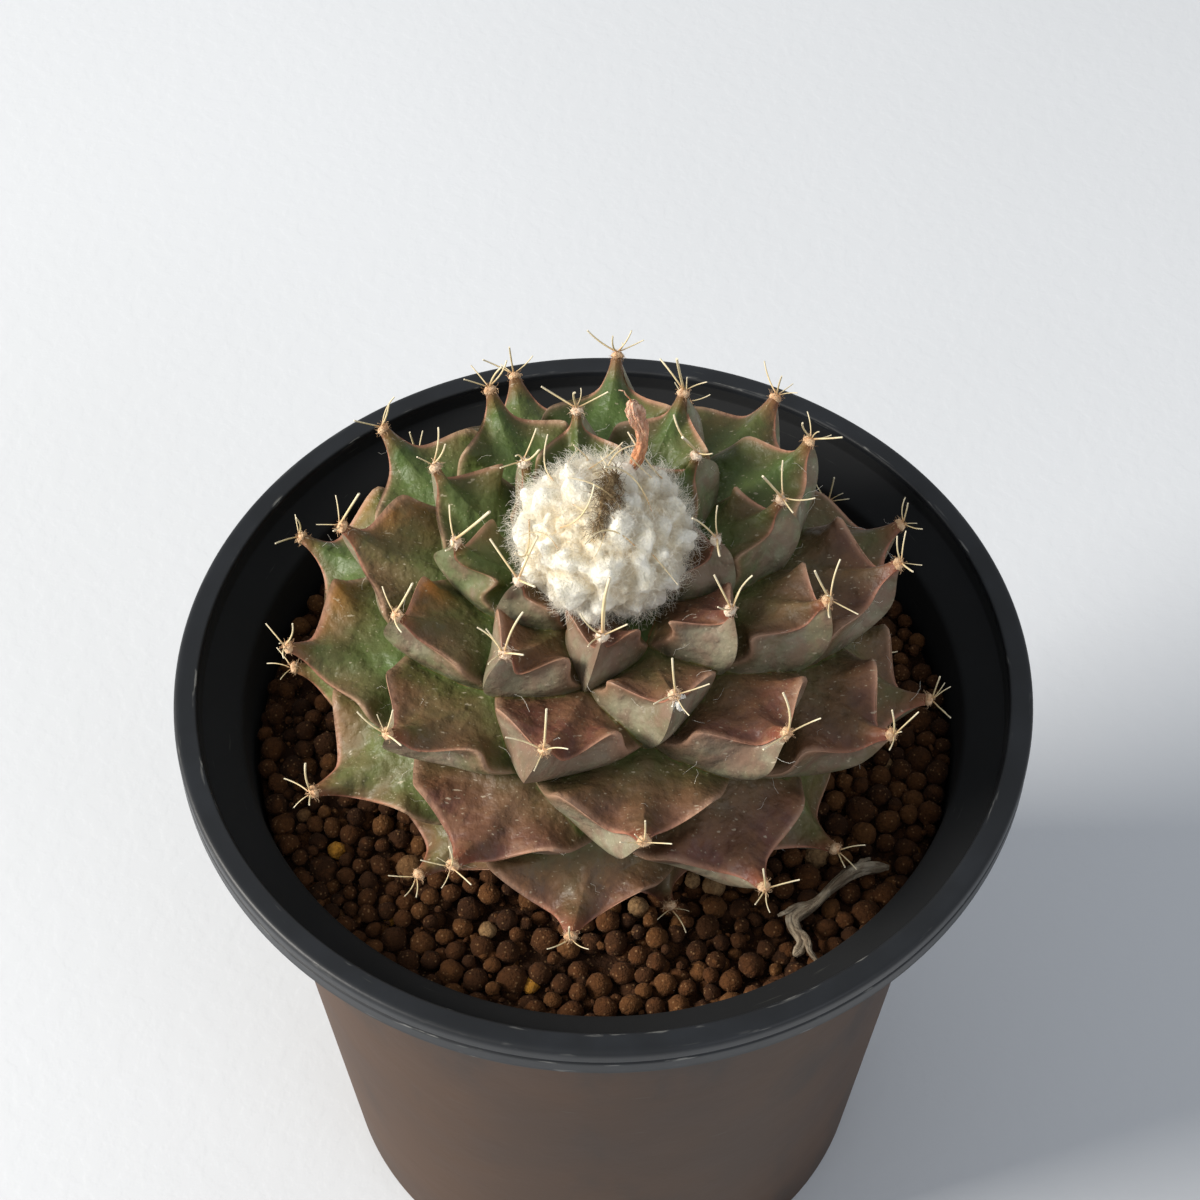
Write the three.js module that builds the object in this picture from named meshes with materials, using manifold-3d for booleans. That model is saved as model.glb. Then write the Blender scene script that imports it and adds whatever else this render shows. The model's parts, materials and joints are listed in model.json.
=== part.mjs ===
// A round, leafy-tubercled cactus with a woolly crown, growing in a black plastic nursery pot.
// Millimetres, +Z up. The origin is the centre of the ring that the pot stands on.

import * as THREE from 'three';
import { mergeVertices } from 'three/addons/utils/BufferGeometryUtils.js';
import Module from 'manifold-3d';

const wasm = await Module();
wasm.setup();

// ---------------------------------------------------------------- driving dimensions
const CLEARANCE = 0.3; // air between two pieces that touch

// pot
const RIM_DIAMETER = 128;
const RIM_LAND = 3.4; // width of the rim's top face
const RIM_BAND_HEIGHT = 5.4; // the outer band that hangs from the rim
const RIM_ROUND = 0.6;
const POT_HEIGHT = 116;
const POT_BASE_DIAMETER = 91;
const POT_WALL = 1;
const POT_FLOOR = 1.6;
const LEDGE_WIDTH = 6.3; // from the rim's inner edge in to the wall, all round
const LEDGE_DROP = 6.5; // from the rim's top down to the foot of that ledge
const FOOT_RING_WIDTH = 4.5;
const FOOT_RING_HEIGHT = 2.2;
const DRAIN_CENTRE_DIAMETER = 16;
const DRAIN_DIAMETER = 9;
const DRAIN_COUNT = 8;
const DRAIN_CIRCLE_DIAMETER = 58;

// substrate
const SUBSTRATE_BELOW_RIM = 13;

// plant: a squat core that carries one fleshy tubercle at each place of a golden-angle spiral
const TUBERCLE_COUNT = 51;
const GOLDEN_ANGLE = 137.5;
const FIRST_AZIMUTH = 307; // degrees from -Y towards +X
const FIRST_TIP_GAP = 2.3; // from the wool out to the innermost tips
const POLAR_STEP = 1.45; // degrees from the pole, for each place of the spiral
const POLAR_STEP_GROWTH = 0.0225; // and for each place squared
const SIDE_GAP = 5.6; // from the widest ring of tubercle tips out to the pot's mouth
const TIP_EQUATOR = 20.4; // height of that ring above the substrate
const TIP_RISE = 35; // from that ring up to the pole of the tips' ellipsoid
const CROWN_FLATTENING = 8.9;
const TIP_DROP = 22; // from that ring down to the lower pole
const TUBERCLE_REACH = 15.2; // from the core out to the tips, at the widest ring
const CORE_EQUATOR = 20;
const CORE_RISE = 18;
const CORE_DROP = 20;
const NECK_SHARE = 0.62; // the stem where it enters the substrate, of the core's width
const NECK_DEPTH = 7;
const TUBERCLE_END_DIAMETER = 2.2;
const TUBERCLE_OVERLAP = 1.07; // how far each footprint laps over its neighbours'

// what grows on the plant
const PAD_DIAMETER = 2.7;
const PAD_THICKNESS = 1.5;
const PAD_SEAT = 0.27; // air that the stem leaves round a pad, just under CLEARANCE
const SPINE_DIAMETER = 0.6;
const SPINE_LENGTH = 5.2;
const WOOL_DIAMETER = 24.6;
const WOOL_HEIGHT = 17.4;
const WOOL_CENTRE = 45; // above the substrate
const WITHERED_SIZE = [5.6, 4.5, 3.5];
const WITHERED_RISE = 0.6; // its middle above the wool
const FLOWER_TUBE_DIAMETER = 1.7;
const FLOWER_TUBE_LENGTH = 11.5;
const TWIG_DIAMETER = 1.5;
const TWIG_AZIMUTH = 52; // degrees from -Y towards +X
const TWIG_FROM_WALL = 4.3; // its outer end in from the pot's mouth

// what follows from them
const rimRadius = RIM_DIAMETER / 2;
const innerEdge = rimRadius - RIM_LAND;
const mouthRadius = innerEdge - LEDGE_WIDTH;
const substrateTop = POT_HEIGHT - SUBSTRATE_BELOW_RIM;
const spreadRadius = mouthRadius - SIDE_GAP;
const coreRadius = spreadRadius - TUBERCLE_REACH;
const neckRadius = NECK_SHARE * coreRadius;
const woolRadius = WOOL_DIAMETER / 2;

// ---------------------------------------------------------------- materials
const plastic = new THREE.MeshStandardMaterial({ color: '#1b1d21', roughness: 0.48, metalness: 0 });
const clay = new THREE.MeshStandardMaterial({ color: '#6b4426', roughness: 0.95, metalness: 0 });
const flesh = new THREE.MeshStandardMaterial({ color: '#6a6150', roughness: 0.5, metalness: 0 });
const wool = new THREE.MeshStandardMaterial({ color: '#efe9db', roughness: 1, metalness: 0 });
const spine = new THREE.MeshStandardMaterial({ color: '#d8c59a', roughness: 0.6, metalness: 0 });
const dryPetal = new THREE.MeshStandardMaterial({ color: '#c58a62', roughness: 0.85, metalness: 0 });
const dryFluff = new THREE.MeshStandardMaterial({ color: '#5d4630', roughness: 0.95, metalness: 0 });
const dryTwig = new THREE.MeshStandardMaterial({ color: '#a39682', roughness: 0.9, metalness: 0 });

// ---------------------------------------------------------------- solids
function signedVolume(positions, triangles) {
  const [a, b, c] = [new THREE.Vector3(), new THREE.Vector3(), new THREE.Vector3()];
  let volume = 0;
  for (let i = 0; i < triangles.length; i += 3) {
    a.fromArray(positions, triangles[i] * 3);
    b.fromArray(positions, triangles[i + 1] * 3);
    c.fromArray(positions, triangles[i + 2] * 3);
    volume += a.dot(b.cross(c)) / 6;
  }
  return volume;
}

// A closed geometry as a solid that can be joined and cut, with its faces pointing out.
function solid(geometry) {
  const bare = geometry.clone();
  bare.deleteAttribute('normal');
  bare.deleteAttribute('uv');
  const merged = mergeVertices(bare, 1e-4);
  const vertProperties = new Float32Array(merged.attributes.position.array);
  const corners = merged.index.array;
  const kept = [];
  for (let i = 0; i < corners.length; i += 3) {
    const [a, b, c] = [corners[i], corners[i + 1], corners[i + 2]];
    if (a !== b && b !== c && c !== a) kept.push(a, b, c);
  }
  if (signedVolume(vertProperties, kept) < 0) {
    for (let i = 0; i < kept.length; i += 3) [kept[i], kept[i + 1]] = [kept[i + 1], kept[i]];
  }
  const triVerts = new Uint32Array(kept);
  return new wasm.Manifold(new wasm.Mesh({ numProp: 3, vertProperties, triVerts }));
}

function geometryOf(manifold) {
  const { vertProperties, triVerts } = manifold.getMesh();
  const geometry = new THREE.BufferGeometry();
  geometry.setAttribute('position', new THREE.Float32BufferAttribute(vertProperties, 3));
  geometry.setIndex(new THREE.Uint32BufferAttribute(triVerts, 1));
  geometry.computeVertexNormals();
  return geometry;
}

// A solid of revolution about Z from [radius, height] pairs that start and end on the axis.
function turned(profile, segments) {
  const points = profile.map(([radius, height]) => new THREE.Vector2(radius, height));
  return solid(new THREE.LatheGeometry(points, segments).rotateX(Math.PI / 2));
}

function ellipsoid(diameter, height, centreZ, across, down) {
  const geometry = new THREE.SphereGeometry(0.5, across, down).rotateX(Math.PI / 2);
  return solid(geometry.scale(diameter, diameter, height).translate(0, 0, centreZ));
}

const object = new THREE.Group();

function add(name, geometry, material) {
  const mesh = new THREE.Mesh(geometry, material);
  mesh.name = name;
  object.add(mesh);
}

// ---------------------------------------------------------------- pot
const POT_SEGMENTS = 56;
const DRILL_SEGMENTS = 16;
const baseRadius = POT_BASE_DIAMETER / 2;
const floorTop = FOOT_RING_HEIGHT + POT_FLOOR;
const ledgeFoot = POT_HEIGHT - LEDGE_DROP;
const insideFloorRadius = baseRadius - POT_WALL;

// Inside radius of the pot's wall at a height, between its floor and the ledge under its rim.
function insideRadius(height) {
  const share = (height - floorTop) / (ledgeFoot - floorTop);
  return THREE.MathUtils.lerp(insideFloorRadius, mouthRadius, share);
}

function makePot() {
  const bandFoot = POT_HEIGHT - RIM_BAND_HEIGHT;
  const footInside = baseRadius - FOOT_RING_WIDTH;
  const profile = [
    [0, FOOT_RING_HEIGHT],
    [footInside, FOOT_RING_HEIGHT],
    [footInside, 0],
    [baseRadius - RIM_ROUND, 0],
    [baseRadius, RIM_ROUND],
    [mouthRadius + POT_WALL, ledgeFoot],
    [mouthRadius + 2 * POT_WALL, bandFoot],
    [rimRadius - RIM_ROUND, bandFoot],
    [rimRadius, bandFoot + RIM_ROUND],
    [rimRadius, POT_HEIGHT - RIM_ROUND],
    [rimRadius - RIM_ROUND, POT_HEIGHT],
    [innerEdge, POT_HEIGHT],
    [innerEdge - RIM_ROUND, POT_HEIGHT - LEDGE_DROP / 2],
    [mouthRadius, ledgeFoot],
    [insideFloorRadius, floorTop],
    [0, floorTop],
  ];
  let pot = turned(profile, POT_SEGMENTS);
  const drill = (diameter, centre) => {
    const bit = new THREE.CylinderGeometry(diameter / 2, diameter / 2, 4 * floorTop, DRILL_SEGMENTS);
    pot = pot.subtract(solid(bit.rotateX(Math.PI / 2).translate(centre.x, centre.y, centre.z)));
  };
  drill(DRAIN_CENTRE_DIAMETER, new THREE.Vector3());
  for (let i = 0; i < DRAIN_COUNT; i += 1) {
    drill(DRAIN_DIAMETER, onRing(DRAIN_CIRCLE_DIAMETER / 2, (i / DRAIN_COUNT) * 2 * Math.PI, 0));
  }
  return pot;
}

// ---------------------------------------------------------------- substrate
function makeSubstrate() {
  const bottom = floorTop + CLEARANCE;
  const pocketRadius = neckRadius + CLEARANCE;
  const pocketFloor = substrateTop - NECK_DEPTH - CLEARANCE;
  return turned(
    [
      [0, bottom],
      [insideRadius(bottom) - CLEARANCE, bottom],
      [insideRadius(substrateTop) - CLEARANCE, substrateTop],
      [pocketRadius, substrateTop],
      [pocketRadius, pocketFloor],
      [0, pocketFloor],
    ],
    40,
  );
}

// ---------------------------------------------------------------- plant
// Angle from the plant's pole at a place of the spiral. Places may be fractions or negative.
function polarAngle(place) {
  const first = Math.asin((woolRadius + FIRST_TIP_GAP) / spreadRadius);
  return first + THREE.MathUtils.degToRad(POLAR_STEP * place + POLAR_STEP_GROWTH * place * place);
}

function azimuthOf(place) {
  return THREE.MathUtils.degToRad(FIRST_AZIMUTH + GOLDEN_ANGLE * place);
}

function onRing(radius, azimuth, height) {
  return new THREE.Vector3(radius * Math.sin(azimuth), -radius * Math.cos(azimuth), height);
}

function corePoint(azimuth, place) {
  const polar = Math.min(polarAngle(place), Math.PI);
  const rise = Math.cos(polar) * (polar < Math.PI / 2 ? CORE_RISE : CORE_DROP);
  return onRing(coreRadius * Math.sin(polar), azimuth, substrateTop + CORE_EQUATOR + rise);
}

function tipPoint(place) {
  const polar = polarAngle(place);
  const up = Math.max(Math.cos(polar), 0);
  const down = Math.min(Math.cos(polar), 0);
  const rise = TIP_RISE * up - CROWN_FLATTENING * up ** 4 + TIP_DROP * down;
  return onRing(spreadRadius * Math.sin(polar), azimuthOf(place), substrateTop + TIP_EQUATOR + rise);
}

// Where a tubercle's areole sits, and the three directions there.
function tubercleFrame(place) {
  const tip = tipPoint(place);
  const base = corePoint(azimuthOf(place), place);
  const out = tip.clone().sub(base).normalize();
  const across = onRing(1, azimuthOf(place) + Math.PI / 2, 0);
  const up = new THREE.Vector3().crossVectors(across, out).normalize();
  if (up.z < 0) up.negate();
  return { tip, base, out, across, up };
}

// A footprint is a rhombus between the spiral's 5-step and 8-step rows. Its corners, as steps of
// azimuth (degrees) and place: sideways along the row of tips, and down the plant.
const SIDE_CORNER = { azimuth: 26.25, place: 1.5 };
const LOWER_CORNER = { azimuth: -6.25, place: 6.5 };
const CORNER_ROUNDING = 1.2; // 1 is a sharp rhombus, 2 an ellipse

// How a tubercle falls from its tip (1) to its footprint's edge (0): steeply beside the beak,
// then over a shoulder. Side ridges are sharp, the upper face is scooped, the keel is full.
const RIDGE = { fall: 1.7, shoulder: 0.32 };
const UPPER_FACE = { fall: 1.6, shoulder: 0.04 };
const LOWER_FACE = { fall: 1.5, shoulder: 0.18 };
const KEEL = { fall: 1.15, shoulder: 0.32 };
const RIDGE_SHARPNESS = 0.8; // below 1 the ridge comes to an edge
const KEEL_SHARPNESS = 3;
const SHOULDER_FALL = 5;

function blended(a, b, share) {
  const lerp = THREE.MathUtils.lerp;
  return { fall: lerp(a.fall, b.fall, share), shoulder: lerp(a.shoulder, b.shoulder, share) };
}

function standOut(turn, share) {
  const down = Math.sin(turn);
  const face = down > 0 ? blended(LOWER_FACE, KEEL, down ** KEEL_SHARPNESS) : UPPER_FACE;
  const { fall, shoulder } = blended(face, RIDGE, 1 - Math.abs(down) ** RIDGE_SHARPNESS);
  return (1 - shoulder) * (1 - share) ** fall + shoulder * (1 - share ** SHOULDER_FALL);
}

function makeTubercle(place) {
  const TURNS = 8;
  const RINGS = [0.14, 0.38, 0.72, 1];
  const SINK = 0.1; // how far the footprint's edge is sunk into the core
  const { tip, base, out, across, up } = tubercleFrame(place);
  const reach = tip.clone().sub(base);
  const end = tip.clone().addScaledVector(out, -(PAD_THICKNESS / 2 + CLEARANCE));
  const points = [end];
  for (let i = 0; i < TURNS; i += 1) {
    const turn = (i / TURNS) * 2 * Math.PI;
    const radius = TUBERCLE_END_DIAMETER / 2;
    const sideways = across.clone().multiplyScalar(radius * Math.cos(turn));
    points.push(end.clone().add(sideways).addScaledVector(up, -radius * Math.sin(turn)));
  }
  for (const share of RINGS) {
    for (let i = 0; i < TURNS; i += 1) {
      const turn = (i / TURNS) * 2 * Math.PI;
      const [side, down] = [Math.cos(turn), Math.sin(turn)];
      const girth = Math.abs(side) ** CORNER_ROUNDING + Math.abs(down) ** CORNER_ROUNDING;
      const size = (TUBERCLE_OVERLAP * share) / girth ** (1 / CORNER_ROUNDING);
      const azimuthStep = size * (side * SIDE_CORNER.azimuth + down * LOWER_CORNER.azimuth);
      const placeStep = size * (side * SIDE_CORNER.place + down * LOWER_CORNER.place);
      const azimuth = azimuthOf(place) + THREE.MathUtils.degToRad(azimuthStep);
      const foot = corePoint(azimuth, place + placeStep);
      const height = share < 1 ? standOut(turn, share) : -SINK;
      points.push(foot.addScaledVector(reach, height));
    }
  }
  const root = base.clone().addScaledVector(reach, -3 * SINK);
  points.push(root);
  const triangles = [];
  for (let i = 0; i < TURNS; i += 1) {
    const next = (i + 1) % TURNS;
    triangles.push(0, 1 + next, 1 + i);
    for (let ring = 0; ring < RINGS.length; ring += 1) {
      const [near, far] = [1 + ring * TURNS, 1 + (ring + 1) * TURNS];
      triangles.push(near + i, near + next, far + i, near + next, far + next, far + i);
    }
    const rim = 1 + RINGS.length * TURNS;
    triangles.push(rim + i, rim + next, points.length - 1);
  }
  const geometry = new THREE.BufferGeometry().setFromPoints(points);
  geometry.setIndex(triangles);
  return solid(geometry);
}

function makeCore() {
  const STEPS = 12;
  const profile = [[0, substrateTop - NECK_DEPTH], [neckRadius, substrateTop - NECK_DEPTH]];
  const lowest = Math.PI - Math.asin(NECK_SHARE);
  for (let i = 0; i <= STEPS; i += 1) {
    const polar = lowest * (1 - i / STEPS);
    const rise = Math.cos(polar) * (polar < Math.PI / 2 ? CORE_RISE : CORE_DROP);
    profile.push([coreRadius * Math.sin(polar), substrateTop + CORE_EQUATOR + rise]);
  }
  return turned(profile, 32);
}

function makeStem() {
  const buried = new THREE.CylinderGeometry(rimRadius, rimRadius, substrateTop, 24).rotateX(Math.PI / 2);
  const ground = solid(buried.translate(0, 0, substrateTop / 2 + CLEARANCE));
  let tubercles = makeTubercle(0);
  let padSeats = makePad(0, 2 * PAD_SEAT);
  for (let place = 1; place < TUBERCLE_COUNT; place += 1) {
    tubercles = tubercles.add(makeTubercle(place));
    padSeats = padSeats.add(makePad(place, 2 * PAD_SEAT));
  }
  const woolSeat = makeWool(2 * CLEARANCE);
  return tubercles.subtract(ground).add(makeCore()).subtract(woolSeat).subtract(padSeats);
}

// The geometry, drawn along +Y about its middle, as a solid along a direction about a centre.
function aimed(geometry, direction, centre) {
  const upright = new THREE.Vector3(0, 1, 0);
  geometry.applyQuaternion(new THREE.Quaternion().setFromUnitVectors(upright, direction));
  return solid(geometry.translate(centre.x, centre.y, centre.z));
}

function makePad(place, growth) {
  const { tip, out } = tubercleFrame(place);
  const pad = new THREE.SphereGeometry(0.5, 6, 4);
  pad.scale(PAD_DIAMETER + growth, PAD_THICKNESS + growth, PAD_DIAMETER + growth);
  return aimed(pad, out, tip);
}

function makeAreole(place) {
  const { tip, out, across, up } = tubercleFrame(place);
  let areole = makePad(place, 0);
  const count = 3 + (place % 2);
  for (let i = 0; i < count; i += 1) {
    const turn = (i / count) * 2 * Math.PI + place;
    const splay = across.clone().multiplyScalar(Math.cos(turn)).addScaledVector(up, Math.sin(turn));
    const direction = out.clone().add(splay.multiplyScalar(1.1)).normalize();
    const radial = onRing(1, azimuthOf(place), 0);
    const inward = Math.min(direction.dot(radial), 0);
    direction.addScaledVector(radial, -2 * inward).normalize();
    const drop = tip.z + direction.z * SPINE_LENGTH - (substrateTop + CLEARANCE);
    if (drop < 0) direction.z = Math.abs(direction.z);
    const spike = new THREE.ConeGeometry(SPINE_DIAMETER / 2, SPINE_LENGTH, 3);
    areole = areole.add(aimed(spike, direction, tip.clone().addScaledVector(direction, SPINE_LENGTH / 2)));
  }
  return areole;
}

function makeWool(growth) {
  return ellipsoid(WOOL_DIAMETER + growth, WOOL_HEIGHT + growth, substrateTop + WOOL_CENTRE, 20, 12);
}

// A point on the wool's surface, by its distance to the side and to the back of the crown.
function onWool(x, y) {
  const share = Math.hypot(x, y) / woolRadius;
  const rise = (WOOL_HEIGHT / 2) * Math.sqrt(1 - share * share);
  return new THREE.Vector3(x, y, substrateTop + WOOL_CENTRE + rise);
}

function makeWithered(growth) {
  const lump = new THREE.IcosahedronGeometry(0.5, 1).scale(...WITHERED_SIZE.map((size) => size + growth));
  const place = onWool(1, 1);
  return solid(lump.translate(place.x, place.y, place.z + WITHERED_RISE));
}

function tubeAlong(points, diameter, steps) {
  const section = new THREE.Shape();
  section.absarc(0, 0, diameter / 2, 0, 2 * Math.PI, false);
  const path = new THREE.CatmullRomCurve3(points);
  const options = { extrudePath: path, steps, curveSegments: 3, bevelEnabled: false };
  return solid(new THREE.ExtrudeGeometry(section, options));
}

function makeFlowerTube() {
  const foot = onWool(4.7, 6.7).addScaledVector(new THREE.Vector3(0, 0, 1), CLEARANCE + 1);
  const at = (x, y, share) => foot.clone().add(new THREE.Vector3(x, y, share * FLOWER_TUBE_LENGTH));
  const route = [at(0, 0, 0), at(-0.6, 0.4, 0.35), at(0.5, 0.9, 0.7), at(0.4, 1.4, 1)];
  return tubeAlong(route, FLOWER_TUBE_DIAMETER, 7);
}

function makeTwig() {
  const height = substrateTop + TWIG_DIAMETER / 2 + CLEARANCE;
  const end = onRing(mouthRadius - TWIG_FROM_WALL, THREE.MathUtils.degToRad(TWIG_AZIMUTH), height);
  const route = [[2.5, 4], [-2, 3.5], [-5.5, 1], [-8.5, -2], [-12, -5], [-11, -9], [-12, -11]];
  const points = route.map(([x, y]) => new THREE.Vector3(end.x + x, end.y + y, height));
  return tubeAlong(points, TWIG_DIAMETER, 14);
}

add('pot', geometryOf(makePot()), plastic);
add('substrate', geometryOf(makeSubstrate()), clay);
add('cactus_stem', geometryOf(makeStem()), flesh);
add('wool_crown', geometryOf(makeWool(0).subtract(makeWithered(2 * CLEARANCE))), wool);
add('withered_flower', geometryOf(makeWithered(0)), dryFluff);
add('dry_flower_tube', geometryOf(makeFlowerTube()), dryPetal);
add('dry_twig', geometryOf(makeTwig()), dryTwig);
for (let place = 0; place < TUBERCLE_COUNT; place += 1) {
  add(`areole_${String(place).padStart(2, '0')}`, geometryOf(makeAreole(place)), spine);
}

export default object;
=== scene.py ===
"""A round cactus with leaf-like tubercles and a woolly crown, in a black nursery pot of clay pebbles.

Laid out as an add-on: each operator makes one piece, or one group of like pieces, on the CAD frame.
"""
import json
import math
from collections import namedtuple
from contextlib import contextmanager
from functools import partial

import bmesh
import bpy
import numpy as np
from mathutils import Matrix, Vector, noise

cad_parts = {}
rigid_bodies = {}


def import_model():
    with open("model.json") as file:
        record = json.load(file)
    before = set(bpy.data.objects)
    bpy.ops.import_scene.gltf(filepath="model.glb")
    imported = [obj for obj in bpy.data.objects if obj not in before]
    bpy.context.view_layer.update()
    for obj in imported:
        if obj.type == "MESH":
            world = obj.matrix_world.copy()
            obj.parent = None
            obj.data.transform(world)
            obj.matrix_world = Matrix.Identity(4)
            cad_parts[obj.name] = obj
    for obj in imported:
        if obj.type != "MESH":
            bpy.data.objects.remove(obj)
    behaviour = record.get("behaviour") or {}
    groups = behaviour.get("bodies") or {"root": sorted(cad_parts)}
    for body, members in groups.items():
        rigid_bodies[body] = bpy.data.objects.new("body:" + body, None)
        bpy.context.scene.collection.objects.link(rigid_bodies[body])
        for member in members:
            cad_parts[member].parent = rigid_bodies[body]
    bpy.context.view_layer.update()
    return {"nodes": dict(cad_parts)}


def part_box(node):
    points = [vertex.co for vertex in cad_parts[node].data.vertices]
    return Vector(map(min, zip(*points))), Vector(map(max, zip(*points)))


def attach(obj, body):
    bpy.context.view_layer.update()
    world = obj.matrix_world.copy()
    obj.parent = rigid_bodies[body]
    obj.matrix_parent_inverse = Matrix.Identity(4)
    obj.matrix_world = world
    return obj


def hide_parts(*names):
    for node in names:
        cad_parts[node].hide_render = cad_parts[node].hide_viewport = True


bl_info = {
    "name": "Potted Round Cactus",
    "version": (1, 0, 0),
    "blender": (4, 5, 0),
    "location": "3D View > Sidebar > Cactus",
    "description": "Builds a woolly-crowned cactus in its nursery pot, piece by piece",
    "category": "Object",
}

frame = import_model()

MM = 0.001  # shapes are worked out in millimetres and stored in metres
POT_LOW, POT_HIGH = (np.array(corner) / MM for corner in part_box("pot"))
BED_LOW, BED_HIGH = (np.array(corner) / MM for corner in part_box("substrate"))
WOOL_LOW, WOOL_HIGH = (np.array(corner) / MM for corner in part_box("wool_crown"))
AREOLES = sorted(name for name in frame["nodes"] if name.startswith("areole_"))
ANY_TURN = 6.3  # radians, a little over a full turn


def paint(code):
    """An sRGB hex code as linear RGBA."""
    parts = [int(code[i : i + 2], 16) / 255 for i in (1, 3, 5)]
    return (*(c / 12.92 if c <= 0.04045 else ((c + 0.055) / 1.055) ** 2.4 for c in parts), 1.0)


# ------------------------------------------------------------------ settings
def length(label, millimetres, about):
    """A size that is given in millimetres and kept in metres."""
    return bpy.props.FloatProperty(
        name=label, description=about, default=float(millimetres) * MM, min=0.0, unit="LENGTH"
    )


def degrees(label, value, about):
    """An angle that is given in degrees and kept in radians."""
    return bpy.props.FloatProperty(
        name=label, description=about, default=math.radians(value), subtype="ANGLE"
    )


def whole(label, value, about):
    """A whole number from 1 up."""
    return bpy.props.IntProperty(name=label, description=about, default=value, min=1)


def colour(label, code, about):
    """A colour from an sRGB hex code."""
    return bpy.props.FloatVectorProperty(
        name=label, description=about, subtype="COLOR", size=4, min=0, max=1, default=paint(code)
    )


class CACTUS_PG_pot(bpy.types.PropertyGroup):
    rim: length("Rim Diameter", POT_HIGH[0] - POT_LOW[0], "Across the outer band")
    height: length("Height", POT_HIGH[2], "From the foot ring to the rim's top")
    base: length("Base Diameter", 91, "Across the foot ring")
    land: length("Rim Land", 3.4, "Width of the rim's flat top")
    band: length("Band Height", 5.4, "Height of the band that hangs from the rim")
    ledge: length("Ledge Width", 6.3, "From the rim's inner edge in to the wall")
    drop: length("Ledge Drop", 6.5, "From the rim's top to the foot of the ledge")
    wall: length("Wall", 1.0, "Thickness of the moulded wall")
    foot: length("Foot Ring Height", 2.2, "Height of the ring the pot stands on")
    foot_width: length("Foot Ring Width", 4.5, "Width of that ring")
    floor: length("Floor", 1.6, "Thickness of the pot's floor")
    drains: whole("Drain Holes", 8, "Holes in the ring round the middle one")
    drain: length("Drain Diameter", 9, "Across each of those holes")
    drain_middle: length("Middle Drain", 16, "Across the middle hole")
    drain_circle: length("Drain Circle", 58, "Circle that the holes stand on")


class CACTUS_PG_bed(bpy.types.PropertyGroup):
    top: length("Top", BED_HIGH[2], "Height of the pebble bed above the ground")
    pebble: length("Pebble", 3.15, "Middle diameter of a baked-clay pebble")
    spread: bpy.props.FloatProperty(name="Spread", description="Variation in size", default=0.2)
    chip: length("Chip", 1.1, "Middle diameter of the broken bits between pebbles")
    seed: whole("Seed", 11, "Changes how the pebbles fall")


class CACTUS_PG_plant(bpy.types.PropertyGroup):
    count: whole("Tubercles", len(AREOLES), "Places of the spiral that carry a tubercle")
    turn: degrees("Golden Angle", 137.5, "Turn from one place of the spiral to the next")
    first: degrees("First Azimuth", 307, "Turn of the innermost tubercle")
    gap: length("Side Gap", 5.6, "From the widest ring of tips out to the pot's mouth")
    reach: length("Reach", 15.2, "From the core out to the tips")
    rise: length("Tip Rise", 35, "From the widest ring of tips up to their pole")
    wave: length("Ridge Wave", 4.2, "How far the side ridges curl up at their shoulders")
    hook: length("Beak Hook", 0.8, "How far a tubercle's beak bows down before its tip")
    seed: whole("Seed", 23, "Changes how each tubercle differs")


class CACTUS_PG_crown(bpy.types.PropertyGroup):
    spine: length("Spine", 5.0, "Middle length of a spine")
    bristle: length("Bristle", 11, "Middle length of a bristle in the wool")
    fibre: length("Wool Fibre", 2.3, "Length of one curl of wool")
    lump: length("Wool Lump", 4.2, "Size of the tufts that the wool clumps into")
    seed: whole("Seed", 5, "Changes how wool and spines fall")


class CACTUS_PG_colours(bpy.types.PropertyGroup):
    plastic: colour("Plastic", "#191b1e", "Moulded pot")
    # the pot's brown wall film is partly real dust and partly a painted reflection of warm brown
    # surroundings
    dust_and_reflection: colour("Pot Dust", "#4a3018", "Brown film on the pot's wall")
    clay: colour("Clay", "#6a4122", "Most pebbles")
    green: colour("Green Skin", "#4f6330", "Shaded skin")
    purple: colour("Sunned Skin", "#6c4437", "Skin in the sun")
    rim: colour("Ridge Skin", "#b48f76", "Horny edge along the ridges")
    wool: colour("Wool", "#fdf8ea", "Fresh wool")
    spine: colour("Spine", "#e6d3a6", "Spines and bristles")
    floor: colour("Floor", "#d9dce0", "Studio floor")


class CACTUS_PG_settings(bpy.types.PropertyGroup):
    pot: bpy.props.PointerProperty(type=CACTUS_PG_pot)
    bed: bpy.props.PointerProperty(type=CACTUS_PG_bed)
    plant: bpy.props.PointerProperty(type=CACTUS_PG_plant)
    crown: bpy.props.PointerProperty(type=CACTUS_PG_crown)
    colours: bpy.props.PointerProperty(type=CACTUS_PG_colours)


# ------------------------------------------------------------------ nodes
def put(tree, kind, links=None, give=0, **settings):
    """Adds one node: settings are its own, links fill its inputs with a socket or a value.

    Gives the output that is asked for, or the node itself where that is None.
    """
    node = tree.nodes.new(kind)
    for name, value in settings.items():
        setattr(node, name, value)
    for name, value in (links or {}).items():
        if isinstance(value, bpy.types.NodeSocket):
            tree.links.new(value, node.inputs[name])
        else:
            node.inputs[name].default_value = value
    return node if give is None else node.outputs[give]


# A mask is a number, the name of a value on the mesh, or one of these; a row of masks multiplies.
CLOUD_DEFAULTS = (0.4, 0.6, 3.0, (1, 1, 1), False)
Clouds = namedtuple("Clouds", "size low high detail stretch along", defaults=CLOUD_DEFAULTS)
Specks = namedtuple("Specks", "spacing share")
Span = namedtuple("Span", "mask start end")  # 0 where the mask is at start, 1 where it is at end


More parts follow.
